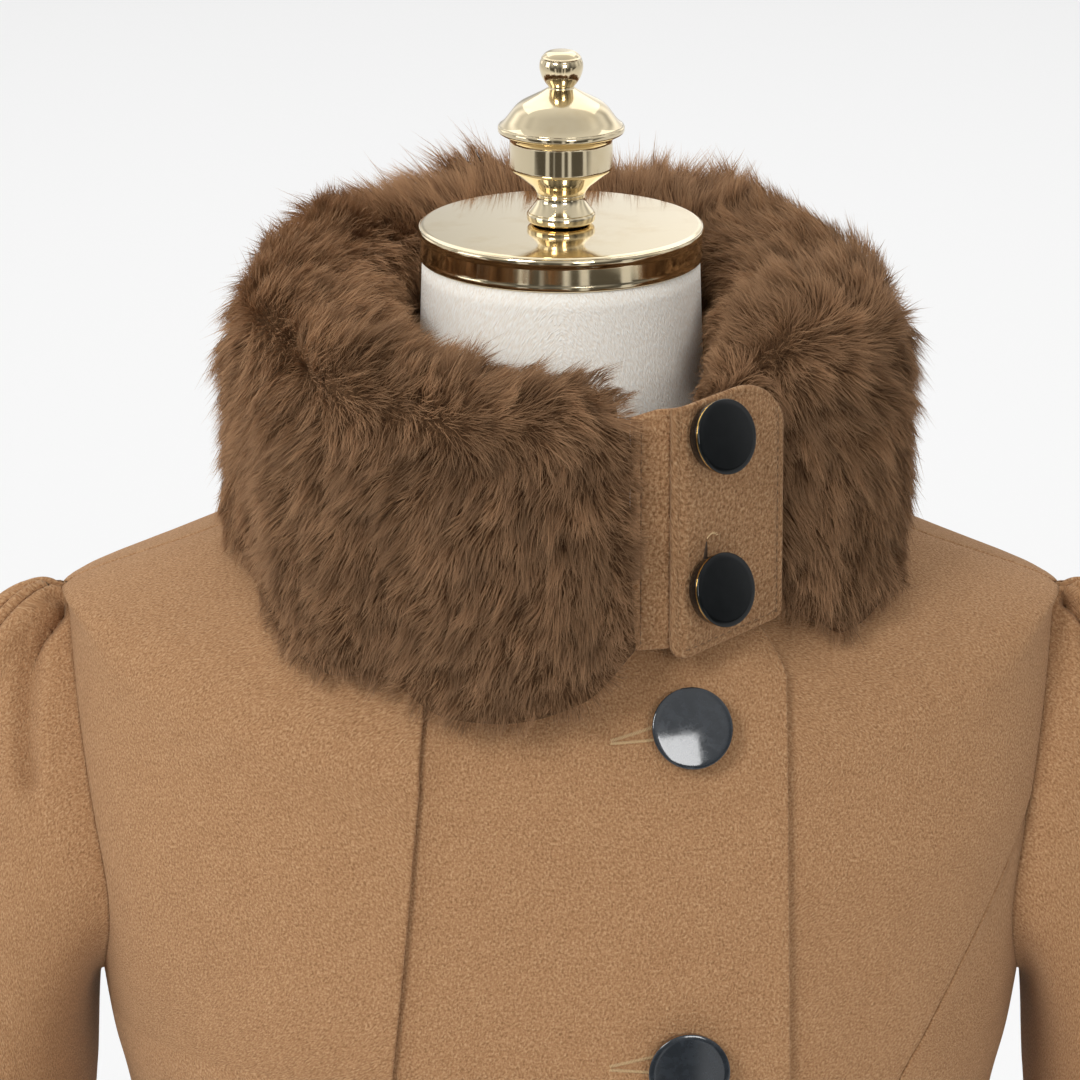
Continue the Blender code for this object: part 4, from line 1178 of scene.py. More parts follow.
@dataclass(frozen=True)
class Sleeves:
    """Both sleeves: gathered into pleats at the armhole, puffed over the shoulder and hanging to the cuff."""

    body: CoatBody
    gap: float = 0.0005
    lean_deg: float = 6.5
    crowding: float = 0.83
    around: int = 164
    head_rows: int = 52
    head_crowding: float = 1.5
    tube_rows: int = 30
    tube_row_size: float = 0.105
    head_lift: float = 0.0008
    head_leave: Pair = (0.006, 0.016)
    head_sideways: float = 0.024
    head_arrive: Pair = (0.018, 0.124)
    normal_reach: float = 0.016
    narrow_end: float = 0.12
    narrow_reach: float = 0.006
    pleat_rise_end: float = 0.07
    pleat_fall: Pair = (0.24, 0.80)
    seam_rows: tuple[Pair, ...] = ((0.0, 0.0), (0.1, 0.5), (0.3, 0.8), (0.62, 1.0))
    cut: Cut = Cut(0.42, 0.72, 0.64)
    rings: tuple[ArmRing, ...] = (
        ArmRing(0.2255, 0.000, 1.088, 0.0375, 0.0760),
        ArmRing(0.2330, -0.003, 1.000, 0.0375, 0.0730),
        ArmRing(0.2430, -0.010, 0.900, 0.0360, 0.0680),
        ArmRing(0.2545, -0.022, 0.795, 0.0330, 0.0630),
        ArmRing(0.2660, -0.037, 0.690, 0.0310, 0.0600),
    )
    pleats: tuple[Pleat, ...] = (
        Pleat(0.0008, 0.008, 0.0030, 0.0026, 0.018, 0.0034),
        Pleat(0.0042, 0.034, 0.0010, 0.0010, 0.0095, 0.0032),
        Pleat(0.0064, 0.058, 0.0012, 0.0060, 0.0155, 0.0042),
        Pleat(-0.0062, -0.030, 0.0026, 0.0030, 0.012, 0.0026),
        Pleat(-0.0120, -0.060, 0.0028, 0.0034, 0.014, 0.0030),
        Pleat(-0.0195, -0.085, 0.0034, 0.0060, 0.015, 0.0028),
    )
    shared_folds: tuple[Fold, ...] = (
        Fold(BACK, ((0.204, 1.268), (0.211, 1.232), (0.216, 1.170)), 0.0120, -0.0050),
        Fold(BACK, ((0.212, 0.992), (0.232, 0.968), (0.255, 0.962)), 0.0120, -0.0035),
        Fold(OUTSIDE, ((0.034, 1.262), (0.038, 1.215), (0.030, 1.150)), 0.0130, -0.0042),
        Fold(OUTSIDE, ((-0.058, 0.990), (-0.022, 0.966), (0.022, 0.976)), 0.0130, -0.0040),
        Fold(FRONT, ((0.214, 0.905), (0.240, 0.892), (0.262, 0.897)), 0.0120, -0.0028),
    )
    right_folds: tuple[Fold, ...] = (
        Fold(FRONT, ((0.1945, 1.2866), (0.1994, 1.2817), (0.203, 1.2782), (0.2072, 1.2711)), 0.0046, -0.0078),
        Fold(FRONT, ((0.207, 1.272), (0.2078, 1.2609), (0.2079, 1.2483), (0.2063, 1.232)), 0.0085, -0.0062),
        Fold(FRONT, ((0.1945, 1.2890), (0.1987, 1.2902), (0.2012, 1.2896)), 0.0030, -0.0020),
        Fold(FRONT, ((0.216, 0.972), (0.236, 0.955), (0.262, 0.950)), 0.0130, -0.0040),
        Fold(OUTSIDE, ((-0.030, 1.240), (-0.020, 1.170), (-0.028, 1.090)), 0.0140, -0.0042),
        Fold(OUTSIDE, ((-0.062, 0.930), (-0.020, 0.912), (0.018, 0.925)), 0.0120, -0.0030),
    )
    left_folds: tuple[Fold, ...] = (
        Fold(FRONT, ((0.1976, 1.29), (0.2024, 1.2872), (0.2054, 1.2832), (0.2083, 1.2776)), 0.0046, -0.0074),
        Fold(FRONT, ((0.2083, 1.2776), (0.2093, 1.2697), (0.2105, 1.24), (0.211, 1.19)), 0.0085, -0.0060),
        Fold(FRONT, ((0.214, 0.990), (0.238, 0.978), (0.264, 0.982)), 0.0130, -0.0036),
        Fold(FRONT, ((0.220, 0.952), (0.244, 0.936), (0.262, 0.934)), 0.0110, -0.0030),
        Fold(OUTSIDE, ((-0.024, 1.252), (-0.030, 1.180), (-0.020, 1.110)), 0.0140, -0.0040),
    )

    def armhole(self, places: Array) -> tuple[Array, Array, float]:
        """The left armhole's inside edge, moved into the hole by a gap that closes at its pointed ends.

        Args:
            places: parts of the loop's length, 0 to 1, from its top by the front.

        Returns:
            Points, outward directions, and the loop's length.
        """
        body = self.body
        rows = body.armhole_level(0.5 - 0.5 * np.cos(np.linspace(0.0, math.pi, 60)))
        levels = np.concatenate((rows[::-1], rows[1:-1]))
        angles = np.concatenate((body.side_edge(rows, True)[::-1], body.side_edge(rows, False)[1:-1]))
        edge = body.point(levels, angles, np.full(levels.shape, -body.cloth))
        loop = np.concatenate((edge, body.normal(levels, angles)), axis=1)
        loop = np.concatenate((loop, loop[:1]))
        run = run_length(loop[:, :3], 0)
        read = np.stack([np.interp(places * run[-1], run, column) for column in loop.T], axis=-1)
        start, normal = read[:, :3], unit(read[:, 3:])
        along = unit(np.roll(start, -1, axis=0) - np.roll(start, 1, axis=0))
        way_in = unit(np.cross(along, normal))
        way_in = way_in * np.sign(np.sum((start.mean(axis=0) - start) * way_in, axis=1))[:, None]
        moved = start + self.gap * way_in
        y, halfway = moved[:, 1], 0.5 * start[:, 1]
        moved[:, 1] = np.where(halfway < 0.0, np.minimum(y, halfway), np.maximum(y, halfway))
        return moved, normal, float(run[-1])

    def tube(self, row: Array, turn: Array) -> Array:
        """Leaning oval of the hanging sleeve; turn 0 is its outside, a quarter is its front."""
        lean = math.radians(self.lean_deg)
        ring = ArmRing(*np.moveaxis(smooth_rows(range(len(self.rings)), self.rings, row), -1, 0))
        across = ring.half_thickness * np.cos(turn)
        x = ring.centre_x + across * math.cos(lean)
        y = ring.centre_y - ring.half_depth * np.sin(turn)
        z = ring.centre_z + across * math.sin(lean)
        return np.stack(np.broadcast_arrays(x, y, z), axis=-1)

    def pleat_height(self, from_top: Array, part: Array) -> Array:
        """Highest of the pleats: a parabola across each line, which drifts from the top and widens down."""
        height = np.zeros(np.broadcast(from_top, part).shape)
        for pleat in self.pleats:
            away = math.copysign(1.0, pleat.place) * (from_top - pleat.place - pleat.drift * part)
            width = np.where(away < 0.0, pleat.near, pleat.far) + pleat.spread * part
            height = np.maximum(height, pleat.height * np.clip(1.0 - (away / width) ** 2, 0.0, 1.0))
        return height

    def softened(self, ways: Array, run: Array, length: float) -> Array:
        """Directions on a closed loop, averaged over their neighbours with a bell curve of the distance."""
        apart = np.abs(run[:, None] - run)
        apart = np.minimum(apart, length - apart)
        space = (np.roll(run, -1) - np.roll(run, 1)) % length
        return unit((np.exp(-0.5 * (apart / self.normal_reach) ** 2) * space) @ ways)

    def fold_height(self, points: Array, normal: Array, folds: Sequence[Fold]) -> Array:
        """Deepest of the folds: a round bump of the distance to each line, where the cloth faces its view."""
        total = np.zeros(points.shape[:-1])
        for fold in folds:
            seen = points[..., [1 if fold.view is OUTSIDE else 0, 2]]
            line = np.array(fold.line)
            nearest = np.full(total.shape, np.inf)
            for start, step in zip(line, np.diff(line, axis=0)):
                part = np.clip((seen - start) @ step / (step @ step), 0.0, 1.0)
                nearest = np.minimum(nearest, np.linalg.norm(seen - start - part[..., None] * step, axis=-1))
            facing = smooth_step(normal[..., :2] @ np.array(fold.view.value), 0.05, 0.4)
            total = np.minimum(total, fold.height * bump(nearest, fold.half_width) * facing)
        return total

    def shape(self, side: Side) -> Shape:
        """One sleeve: it leaves the armhole along the normal, puffs over on a cubic and hangs as a tube."""
        body = self.body
        even = np.arange(self.around) / self.around
        places = even - self.crowding * np.sin(2.0 * math.pi * even) / (2.0 * math.pi)
        start, normal, length = self.armhole(places)
        turn = 2.0 * math.pi * places
        outside = 0.5 + 0.5 * np.cos(turn)
        lean = math.radians(self.lean_deg)
        down = np.array((math.sin(lean), 0.0, -math.cos(lean)))
        normal = self.softened(normal, places * length, length)
        lift = start + (body.cloth + self.head_lift) * normal
        upper_arm = self.tube(np.zeros(self.around), turn)
        sideways = np.array((1.0, 0.0, 0.0)) * outside[:, None] ** 2
        leave_by = (self.head_leave[0] + self.head_leave[1] * outside)[:, None]
        leave = lift + leave_by * normal + self.head_sideways * sideways
        arrive = upper_arm - (self.head_arrive[0] + self.head_arrive[1] * outside)[:, None] * down
        way, thick = round_edge()
        seam_part, seam_thick = np.array(self.seam_rows).T
        seam = start + seam_part[:, None, None] * (lift - start)
        part = np.linspace(0.0, 1.0, self.head_rows + 1)[:-1] ** self.head_crowding
        head = bezier(part[:, None, None], lift, leave, arrive, upper_arm)
        cuff = len(self.rings) - 1.0 - 0.5 * body.cloth * way[::-1] / self.tube_row_size
        rows = np.concatenate((np.linspace(0.0, cuff[0], self.tube_rows)[:-1], cuff))
        plain = np.concatenate((seam, head, self.tube(rows[:, None], turn)))
        in_head = slice(len(seam), len(seam) + len(part))
        out = grid_frame(plain, closed=True)[2]
        from_top = np.where(places > 0.5, places - 1.0, places) * length
        fall = smooth_step(part, self.pleat_fall[0], self.pleat_fall[1] - self.pleat_fall[0])
        fade = smooth_step(part, 0.0, self.pleat_rise_end) * (1.0 - fall)
        own_folds = self.left_folds if side is Side.LEFT else self.right_folds
        rise = self.fold_height(plain, out, (*self.shared_folds, *own_folds))
        rise[in_head] += fade[:, None] * self.pleat_height(from_top, part[:, None])
        half = np.full(rise.shape, 0.5 * body.cloth)
        half[: len(seam)] *= seam_thick[:, None]
        half[-len(thick) :] *= thick[::-1, None]
        at_seam = np.zeros((len(plain), 1))
        at_seam[: len(seam)] = 1.0
        at_seam[in_head, 0] = 1.0 - smooth_step(part, 0.0, self.narrow_end)
        narrow = np.minimum(half, 0.4 * np.abs(plain[..., 1]) + 0.0001)
        half = half + at_seam * (narrow - half)
        out[..., 1] *= smooth_step(np.abs(from_top), 0.0, self.narrow_reach)
        middle = plain + (rise - 0.5 * body.cloth)[..., None] * out
        sleeve = shell(middle, grid_frame(middle, closed=True)[2], half, closed=True)
        return sleeve if side is Side.LEFT else sleeve.mirrored()

    def dress(self, wool: Material) -> None:
        """Make both sleeves."""
        carriers = {Side.LEFT: "side_front_left_cloth", Side.RIGHT: "front_right_side_cloth"}
        for side, carrier in carriers.items():
            node = f"sleeve_{side.name.lower()}"
            piece = self.shape(side).piece(f"{node}_cloth", wool, "camel_wool", node)
            self.cut.declare(piece, "hung", carrier)


# Collar


@dataclass(frozen=True)
class CollarPath:
    """Plan of the collar's strip and tab: a path along their outside that turns from facing front to left."""

    start: Pair = (0.0262, -0.1228)
    strip_facing_deg: float = 12.0
    tab_facing_deg: float = 39.0
    bend: Pair = (0.011, 0.027)
    end: float = 0.0680
    low_z: float = 1.3026
    lean_deg: float = -0.5

    def plan(self, run: Any) -> tuple[Array, Array]:
        """Points along the path and the directions that it faces there."""
        fine = np.linspace(0.0, self.end, 400)
        turning = smooth_step(fine, self.bend[0], self.bend[1] - self.bend[0])
        facing = np.radians(self.strip_facing_deg + (self.tab_facing_deg - self.strip_facing_deg) * turning)
        step = fine[1] - fine[0]
        x = self.start[0] + np.cumsum(np.cos(facing)) * step
        y = self.start[1] + np.cumsum(np.sin(facing)) * step
        at = np.interp(run, fine, facing)
        point = np.stack((np.interp(run, fine, x), np.interp(run, fine, y)), axis=-1)
        return point, np.stack((np.sin(at), -np.cos(at)), axis=-1)

    def point(self, run: Any, z: Any, out: Any) -> Array:
        """A point on the tab's outside, leaning out towards its top and moved out by a given amount."""
        run, z, out = np.broadcast_arrays(*(np.asarray(value, float) for value in (run, z, out)))
        point, facing = self.plan(run)
        lean = (z - self.low_z) * math.tan(math.radians(self.lean_deg))
        return np.concatenate((point + facing * (lean + out)[..., None], z[..., None]), axis=-1)

    def normal(self, run: Any, tilt_deg: float = 0.0) -> Array:
        """The way that the tab faces at places on its path, tilted up by an angle."""
        facing = self.plan(run)[1]
        up = math.radians(tilt_deg - self.lean_deg)
        rise = np.full((*facing.shape[:-1], 1), math.sin(up))
        return np.concatenate((facing * math.cos(up), rise), axis=-1)


class FurSection(NamedTuple):
    """One section of the fur at an angle from the front: polar radii and heights."""

    angle_deg: float
    inner_radius: float
    outer_radius: float
    inner_low_z: float
    outer_low_z: float
    top_z: float


class Furrow(NamedTuple):
    """A furrow down the fur's outside."""

    angle_deg: float
    half_width_deg: float
    depth: float


class Hollow(NamedTuple):
    """A hollow in the fur's outside, round in angle and in its share of the section's height."""

    angle_deg: float
    half_width_deg: float
    up: float
    half_height: float
    depth: float


Table = tuple[FurSection, ...]


@dataclass(frozen=True)
class FurCollar:
    """Fur stand collar in two halves: a pelt, and tufts of tapering hair that lie over it."""

    body: CoatBody
    path: CollarPath
    rest: float = 0.0013
    crown_squareness: float = 2.7
    crown_points: int = 46
    under_points: int = 26
    step_deg: float = 2.0
    pile: float = 0.0062
    crown_pile: float = 0.0105
    front_inset_deg: float = 0.03
    back_inset_deg: float = 0.15
    right_split_deg: float = -80.0
    left_split_deg: float = 105.0
    tufts: int = 41000
    hairs: int = 7
    tuft_radius: float = 0.0013
    tip_draw: float = 0.36
    frizz: float = 0.0009
    guard_share: float = 0.07
    guard_length: float = 1.28
    hair_width: float = 0.00026
    hair_length: float = 0.0142
    parting_up: float = 0.86
    floor_step_deg: float = 3.0
    floor_from: float = 0.098
    floor_gap: float = 0.0012
    neck_radius: float = 0.0566
    neck_top_z: float = 1.452
    tab_middle: float = 0.0420
    tab_half: float = 0.0255
    tab_behind: float = 0.0045
    tab_z: Pair = (1.298, 1.408)
    seed: int = 11
    right: Table = (
        FurSection(-180.0, 0.0600, 0.1240, 1.386, 1.340, 1.440),
        FurSection(-135.0, 0.0605, 0.1310, 1.384, 1.322, 1.438),
        FurSection(-90.0, 0.0610, 0.1300, 1.376, 1.308, 1.432),
        FurSection(-60.0, 0.0650, 0.1360, 1.358, 1.296, 1.422),
        FurSection(-35.0, 0.0720, 0.1430, 1.340, 1.286, 1.417),
        FurSection(0.0, 0.0800, 0.1380, 1.330, 1.283, 1.412),
        FurSection(5.0, 0.0810, 0.1364, 1.330, 1.289, 1.411),
        FurSection(11.9, 0.0820, 0.1340, 1.330, 1.309, 1.408),
    )
    left: Table = (
        FurSection(35.0, 0.0820, 0.1120, 1.332, 1.310, 1.402),
        FurSection(43.0, 0.0760, 0.1130, 1.338, 1.304, 1.410),
        FurSection(52.0, 0.0700, 0.1330, 1.348, 1.288, 1.420),
        FurSection(64.0, 0.0650, 0.1400, 1.360, 1.288, 1.428),
        FurSection(90.0, 0.0610, 0.1365, 1.376, 1.304, 1.431),
        FurSection(135.0, 0.0605, 0.1335, 1.384, 1.322, 1.437),
        FurSection(180.0, 0.0600, 0.1240, 1.386, 1.340, 1.440),
    )
    underside: tuple[Pair, ...] = (
        (0.00, 0.26),
        (0.06, 0.05),
        (0.24, 0.00),
        (0.56, 0.00),
        (0.88, 0.00),
        (0.97, 0.04),
        (1.00, 0.20),
    )
    furrows: tuple[Furrow, ...] = (
        Furrow(-152.0, 13.0, 0.0050),
        Furrow(-112.0, 12.0, 0.0050),
        Furrow(-64.0, 11.0, 0.0045),
        Furrow(-29.0, 11.0, 0.0060),
        Furrow(78.0, 11.0, 0.0050),
        Furrow(122.0, 13.0, 0.0045),
        Furrow(158.0, 12.0, 0.0050),
    )
    hollows: tuple[Hollow, ...] = (
        Hollow(-158.0, 20.0, 0.80, 0.16, 0.0060),
        Hollow(-105.0, 18.0, 0.78, 0.16, 0.0070),
        Hollow(-54.0, 14.0, 0.80, 0.15, 0.0095),
        Hollow(-18.0, 14.0, 0.80, 0.12, 0.0050),
        Hollow(54.0, 13.0, 0.76, 0.15, 0.0120),
        Hollow(98.0, 18.0, 0.80, 0.16, 0.0070),
        Hollow(146.0, 20.0, 0.78, 0.16, 0.0060),
    )
    low_leans: tuple[Pair, ...] = (
        *((-180.0, -0.20), (-150.0, -0.25), (-120.0, -0.25), (-85.0, -0.32), (-50.0, -0.45)),
        *((-20.0, -0.42), (-4.0, -0.34), (5.0, 0.30), (12.0, 1.40), (35.0, 0.30)),
        *((50.0, 0.22), (90.0, 0.22), (130.0, 0.25), (180.0, 0.20)),
    )
    crest_leans: tuple[Pair, ...] = ((-8.0, 0.25), (3.0, 0.42), (12.0, 1.15), (35.0, 0.24))

    def loop(self) -> tuple[Array, Array]:
        """Section's outline as parts of its width and height: over the crown from outside in, then under."""
        turn = np.linspace(0.0, math.pi, self.crown_points)
        power = 2.0 / self.crown_squareness
        places = np.linspace(0.0, len(self.underside) - 1.0, self.under_points)[1:-1]
        steps = np.arange(len(self.underside))
        under_across, under_up = (np.interp(places, steps, column) for column in zip(*self.underside))
        return (
            np.append(0.5 + 0.5 * signed_power(np.cos(turn), power), under_across),
            np.append(0.5 + 0.5 * signed_power(np.sin(turn), power), under_up),
        )

    def sections(self, degrees: Array, table: Table) -> Array:
        """Rounded blocks whose underside rests on the coat, one for each angle.

        Args:
            degrees: angles from the front.
            table: sections of one half.

        Returns:
            Points, angles by places round the section by 3.
        """
        across, up = self.loop()
        keys = [section.angle_deg for section in table]
        rings = []
        for angle in degrees:
            row = FurSection(*smooth_rows(keys, table, angle))
            furrow = sum(one.depth * bump(angle - one.angle_deg, one.half_width_deg) for one in self.furrows)
            radius = row.inner_radius + (row.outer_radius - furrow - row.inner_radius) * across
            polar = math.radians(angle)
            coat_radius, coat_z = self.body.profile(polar)
            line_radius = (row.inner_radius, coat_radius[0], row.outer_radius)
            line = np.interp(radius, line_radius, (row.inner_low_z, coat_z[0] + self.rest, row.outer_low_z))
            resting = np.interp(radius, coat_radius, coat_z) + self.rest
            low = np.where(radius > coat_radius[0], np.maximum(line, resting), line)
            z = low + (row.top_z - low) * up
            rings.append(np.stack((radius * math.sin(polar), -radius * math.cos(polar), z), axis=-1))
        return np.array(rings)

    @cached_property
    def waves(self) -> dict[str, Ripple]:
        """Random hills by use: the pelt's lumps, the hair's swirl, curl and sway, and its reach."""
        rng = np.random.default_rng(self.seed)
        sizes = {"swell": 0.042, "lump": 0.016, "swirl": 0.034, "curl": 0.010, "sway": 0.012, "reach": 0.013}
        return {name: Ripple.drawn(rng, wave) for name, wave in sizes.items()}

    def pelt(self, degrees: Array, table: Table) -> tuple[Array, Array, Array, Array]:
        """The pelt: the fur's block moved in by the pile's uneven depth, little where it rests on the coat.

        Args:
            degrees: angles from the front.
            table: sections of one half.

        Returns:
            Points of the pelt, and unit directions round the section, along the collar and outwards.
        """
        block = self.sections(degrees, table)
        around, along, inward = grid_frame(block, closed=True)
        across, up = self.loop()
        depth = self.pile + (self.crown_pile - self.pile) * smooth_step(up, 0.78, 0.20)
        depth = depth * smooth_step(up, 0.02, 0.20) * (0.55 + 0.45 * smooth_step(across, 0.0, 0.5))
        uneven = 1.0 + 0.20 * self.waves["swell"].at(block) + 0.20 * self.waves["lump"].at(block)
        depth = depth * np.clip(uneven, 0.4, 1.5)
        return block + (depth + self.sunk(degrees))[..., None] * inward, around, along, -inward

    def sunk(self, degrees: Array) -> Array:
        """Depth of the hollows at each angle and place of the section: round bumps both ways."""
        across, up = self.loop()
        total = np.zeros((len(degrees), len(up)))
        for hollow in self.hollows:
            beside = bump(degrees - hollow.angle_deg, hollow.half_width_deg)[:, None]
            total = total + hollow.depth * beside * bump(up - hollow.up, hollow.half_height) * (across > 0.5)
        return total

    def growth(self, degrees: Array) -> Array:
        """How hair lies at each angle and place of the section.

        Below the parting on the outside it flows down, above it fans up and over the neck; in front it leans
        to the wearer's right, and at the strip it turns to the strip's edge.

        Args:
            degrees: angles from the front.

        Returns:
            Share of the way round the section, share along the collar, length over the usual one, and tone,
            which carries painted light: paler on the wearer's right side, on the crest and at the back, and
            darker in the hollows as painted shade.
        """
        across, up = self.loop()
        right = degrees < 20.0
        outside = smooth_step(across, 0.42, 0.30)
        above = smooth_step((up - self.parting_up + 0.08) / 0.16)
        crest = np.maximum(above, 1.0 - outside)
        behind = smooth_step(np.abs(degrees), 110.0, 40.0)[:, None]
        side = smooth_step(degrees, -30.0, -40.0)[:, None]
        inside = (0.85 - 0.50 * smooth_step(up, 0.55, 0.35)) * (1.0 - behind) - 1.40 * behind
        ends = np.where(right, smooth_step(degrees, -8.0, 11.0), bump(degrees - 50.0, 18.0))[:, None]
        flow = outside * (-1.0 + above * (1.35 - 0.85 * ends)) + (1.0 - outside) * inside
        low_lean, crest_lean = (
            np.interp(degrees, *zip(*leans))[:, None] for leans in (self.low_leans, self.crest_leans)
        )
        lean = low_lean + (crest_lean - low_lean) * crest
        lean = lean + 0.62 * (1.0 - 0.6 * ends) * bump(up - self.parting_up, 0.15) * outside
        inner = 0.62 + 0.38 * smooth_step(across, 0.0, 0.45) + 0.62 * behind * (1.0 - outside)
        length = (0.60 + 0.40 * smooth_step(up, 0.05, 0.28)) * inner
        at_strip = (smooth_step(degrees, 3.0, 8.0) * right)[:, None] * (0.45 - 0.25 * above)
        at_tab = 0.40 * smooth_step(degrees, 50.0, -14.0) * ~right
        length = length * (1.0 - at_strip - at_tab[:, None])
        # Painted light and shade in the tone: paler on the wearer's right side, on the crest and at the back,
        # where light falls, and darker in the hollows.
        tone_and_painted_light = 0.36 + 0.05 * ~right[:, None] + 0.54 * side + (0.17 - 0.15 * side + 0.40 * behind) * crest
        tone_and_painted_light = tone_and_painted_light - 22.0 * self.sunk(degrees)
        return np.stack(np.broadcast_arrays(flow, lean, length, tone_and_painted_light), axis=-1)

    def comb(self, values: Array) -> Array:
        """Turn values read from the pelt into hairs, with random hills in their lie, so tips meet and part.

        Args:
            values: root, three directions, flow, lean, length and tone with painted light and shade, one row
                for each hair.

        Returns:
            Root, lying way, standing way, outward way, length and tone with painted light and shade.
        """
        root, around, along, out = np.split(values[..., :12], 4, axis=-1)
        flow, lean, length, tone_and_painted_light = np.split(values[..., 12:], 4, axis=-1)
        hill = {name: wave.at(root)[..., None] for name, wave in self.waves.items()}
        wander = 0.30 + 0.70 * np.clip(np.abs(flow), 0.0, 1.0)
        flow = flow + 0.17 * wander * hill["sway"]
        lean = lean + wander * (0.26 * hill["swirl"] + 0.19 * hill["curl"])
        lay = unit(out * 0.20 + around * flow + along * lean)
        stand = unit(out * 0.95 + 0.55 * (around * flow + along * lean))
        length = length * (1.0 + 0.20 * np.clip(hill["reach"], -1.3, 1.7))
        tone_and_painted_light = tone_and_painted_light - 0.13 * hill["lump"] - 0.07 * hill["curl"]
        return np.concatenate((root, lay, stand, out, length, tone_and_painted_light), axis=-1)

    def hair(
        self, rng: np.random.Generator, degrees: Array, table: Table, tufts: int, floor: tuple[Array, Array]
    ) -> Shape:
        """Tufts of tapering hair on the pelt.

        A hair starts along one direction and ends along a flatter one, so that it bends on a parabola.
        Its tip is drawn to the middle of its tuft. Each is two triangles, widest in the middle, lit
        mostly as the pelt.

        Args:
            rng: source of places and turns.
            degrees: angles from the front of the pelt's sections.
            table: sections of one half.
            tufts: number of tufts.
            floor: height of the coat by polar angle and radius.

        Returns:
            The hair, with values for the way along a hair and for its tone, which carries painted light and
            shade.
        """
        pelt, *ways = self.pelt(degrees, table)
        grid = wrapped(np.concatenate((pelt, *ways, self.growth(degrees)), axis=-1))
        sizes = np.linalg.norm(np.diff(pelt, axis=0, append=pelt[-1:]), axis=-1)
        round_sizes = np.linalg.norm(np.roll(pelt, -1, axis=1) - pelt, axis=-1)
        weight = (sizes * round_sizes * smooth_step(self.loop()[1], 0.02, 0.05)).ravel()
        cells = rng.choice(weight.size, size=tufts, p=weight / weight.sum())
        row, column = np.unravel_index(cells, sizes.shape)
        steps = np.maximum((sizes[row, column], round_sizes[row, column]), 1e-4)[..., None]
        row, column = row + rng.uniform(size=tufts), column + rng.uniform(size=tufts)
        spread = rng.normal(scale=self.tuft_radius, size=(2, tufts, self.hairs)) / steps
        middle = self.comb(self.read(grid, row, column))[:, None]
        own = self.comb(self.read(grid, row[:, None] + spread[0], column[:, None] + spread[1]))
        each = own.shape[:2]
        guard = np.where(rng.uniform(size=each) < self.guard_share, self.guard_length, 1.0)
        size = self.hair_length * rng.uniform(0.80, 1.15, (tufts, 1)) * rng.uniform(0.78, 1.12, each) * guard
        size = (size * own[..., 12])[..., None, None]
        part = np.array((0.0, 0.5, 1.0))[:, None]
        curve = self.strand(own, part, size)
        curve = curve + self.tip_draw * part**1.3 * (self.strand(middle, part, size) - curve)
        curve = curve + rng.normal(scale=self.frizz, size=curve.shape) * part
        curve = self.clear(curve.reshape(-1, 3, 3), floor)
        out = own[..., 9:12].reshape(-1, 3)
        heading = unit(curve[:, 2] - curve[:, 0])
        first = unit(np.cross(heading, out) + 1e-9)
        upright = np.sum(heading * out, axis=1, keepdims=True) ** 2
        twist = rng.normal(size=(len(curve), 1)) * (0.4 + 1.3 * upright)
        side = np.cos(twist) * first + np.sin(twist) * np.cross(first, heading)
        half = 0.5 * self.hair_width * rng.uniform(0.7, 1.3, size=(len(curve), 1)) * side
        points = np.stack((curve[:, 0], curve[:, 1] - half, curve[:, 1] + half, curve[:, 2]), axis=1)
        faces = np.array(((0, 2, 1), (1, 2, 3))) + 4 * np.arange(len(points))[:, None, None]
        flat_way = np.cross(side, heading)
        facing = unit(flat_way + 1.6 * np.sum(flat_way * out, axis=1, keepdims=True) * out)
        tone_and_painted_light = own[..., 13] + rng.normal(0.0, 0.11, size=(tufts, 1)) + rng.normal(0.0, 0.13, size=each)
        tone_and_painted_light = np.repeat(np.clip(tone_and_painted_light, 0.0, 1.0).ravel(), 4)
        values = {"along": np.tile((0.0, 0.5, 0.5, 1.0), len(points)), "tone_and_painted_light": tone_and_painted_light}
        return Shape(points.reshape(-1, 3), faces.reshape(-1, 3), None, values, np.repeat(facing, 4, axis=0))

    @staticmethod
    def read(values: Array, row: Array, column: Array) -> Array:
        """Values of a grid between its points, straight along both ways."""
        row = np.clip(row, 0.0, values.shape[0] - 1.001)
        column = column % (values.shape[1] - 1.0)
        low, left = row.astype(int), column.astype(int)
        row, column = (row - low)[..., None], (column - left)[..., None]
        first = values[low, left] * (1.0 - column) + values[low, left + 1] * column
        second = values[low + 1, left] * (1.0 - column) + values[low + 1, left + 1] * column
        return first * (1.0 - row) + second * row

    @staticmethod
    def strand(values: Array, part: Array, size: Array) -> Array:
        """Points along hairs whose direction turns evenly from standing to lying."""
        root, lay, stand = np.split(values[..., None, :9], 3, axis=-1)
        return root + size * ((part - 0.5 * part**2) * stand + 0.5 * part**2 * lay)

    def coat_floor(self) -> tuple[Array, Array]:
        """Radii, and the coat's height at each of them for polar angles a step apart."""
        reach = np.linspace(0.085, 0.240, 60)
        turns = np.radians(np.arange(-180.0, 180.1, self.floor_step_deg))
        return reach, np.array([np.interp(reach, *self.body.profile(turn)) for turn in turns])

    def clear(self, hairs: Array, floor: tuple[Array, Array]) -> Array:
        """Keep hair above the coat, outside the neck and behind the tab."""
        x, y, z = np.moveaxis(hairs, -1, 0)
        polar, radius = np.arctan2(x, -y), np.hypot(x, y)
        reach, heights = floor
        turn = np.rint((polar + math.pi) / math.radians(self.floor_step_deg)).astype(int)
        low = heights[turn, np.searchsorted(reach, radius).clip(0, len(reach) - 1)]
        push = np.maximum(self.neck_radius / np.maximum(radius, 1e-6), 1.0)
        plan = hairs[..., :2] * np.where(z < self.neck_top_z, push, 1.0)[..., None]
        z = np.where(radius < self.floor_from, z, np.maximum(z, low + self.floor_gap))
        middle, facing = self.path.plan(self.tab_middle)
        ahead, aside = (plan - middle) @ facing, (plan - middle) @ np.array((-facing[1], facing[0]))
        beside = (np.abs(aside) < self.tab_half) & (z > self.tab_z[0]) & (z < self.tab_z[1])
        back = np.where(beside, np.minimum(ahead, -self.tab_behind) - ahead, 0.0)
        return np.concatenate((plan + back[..., None] * facing, z[..., None]), axis=-1)

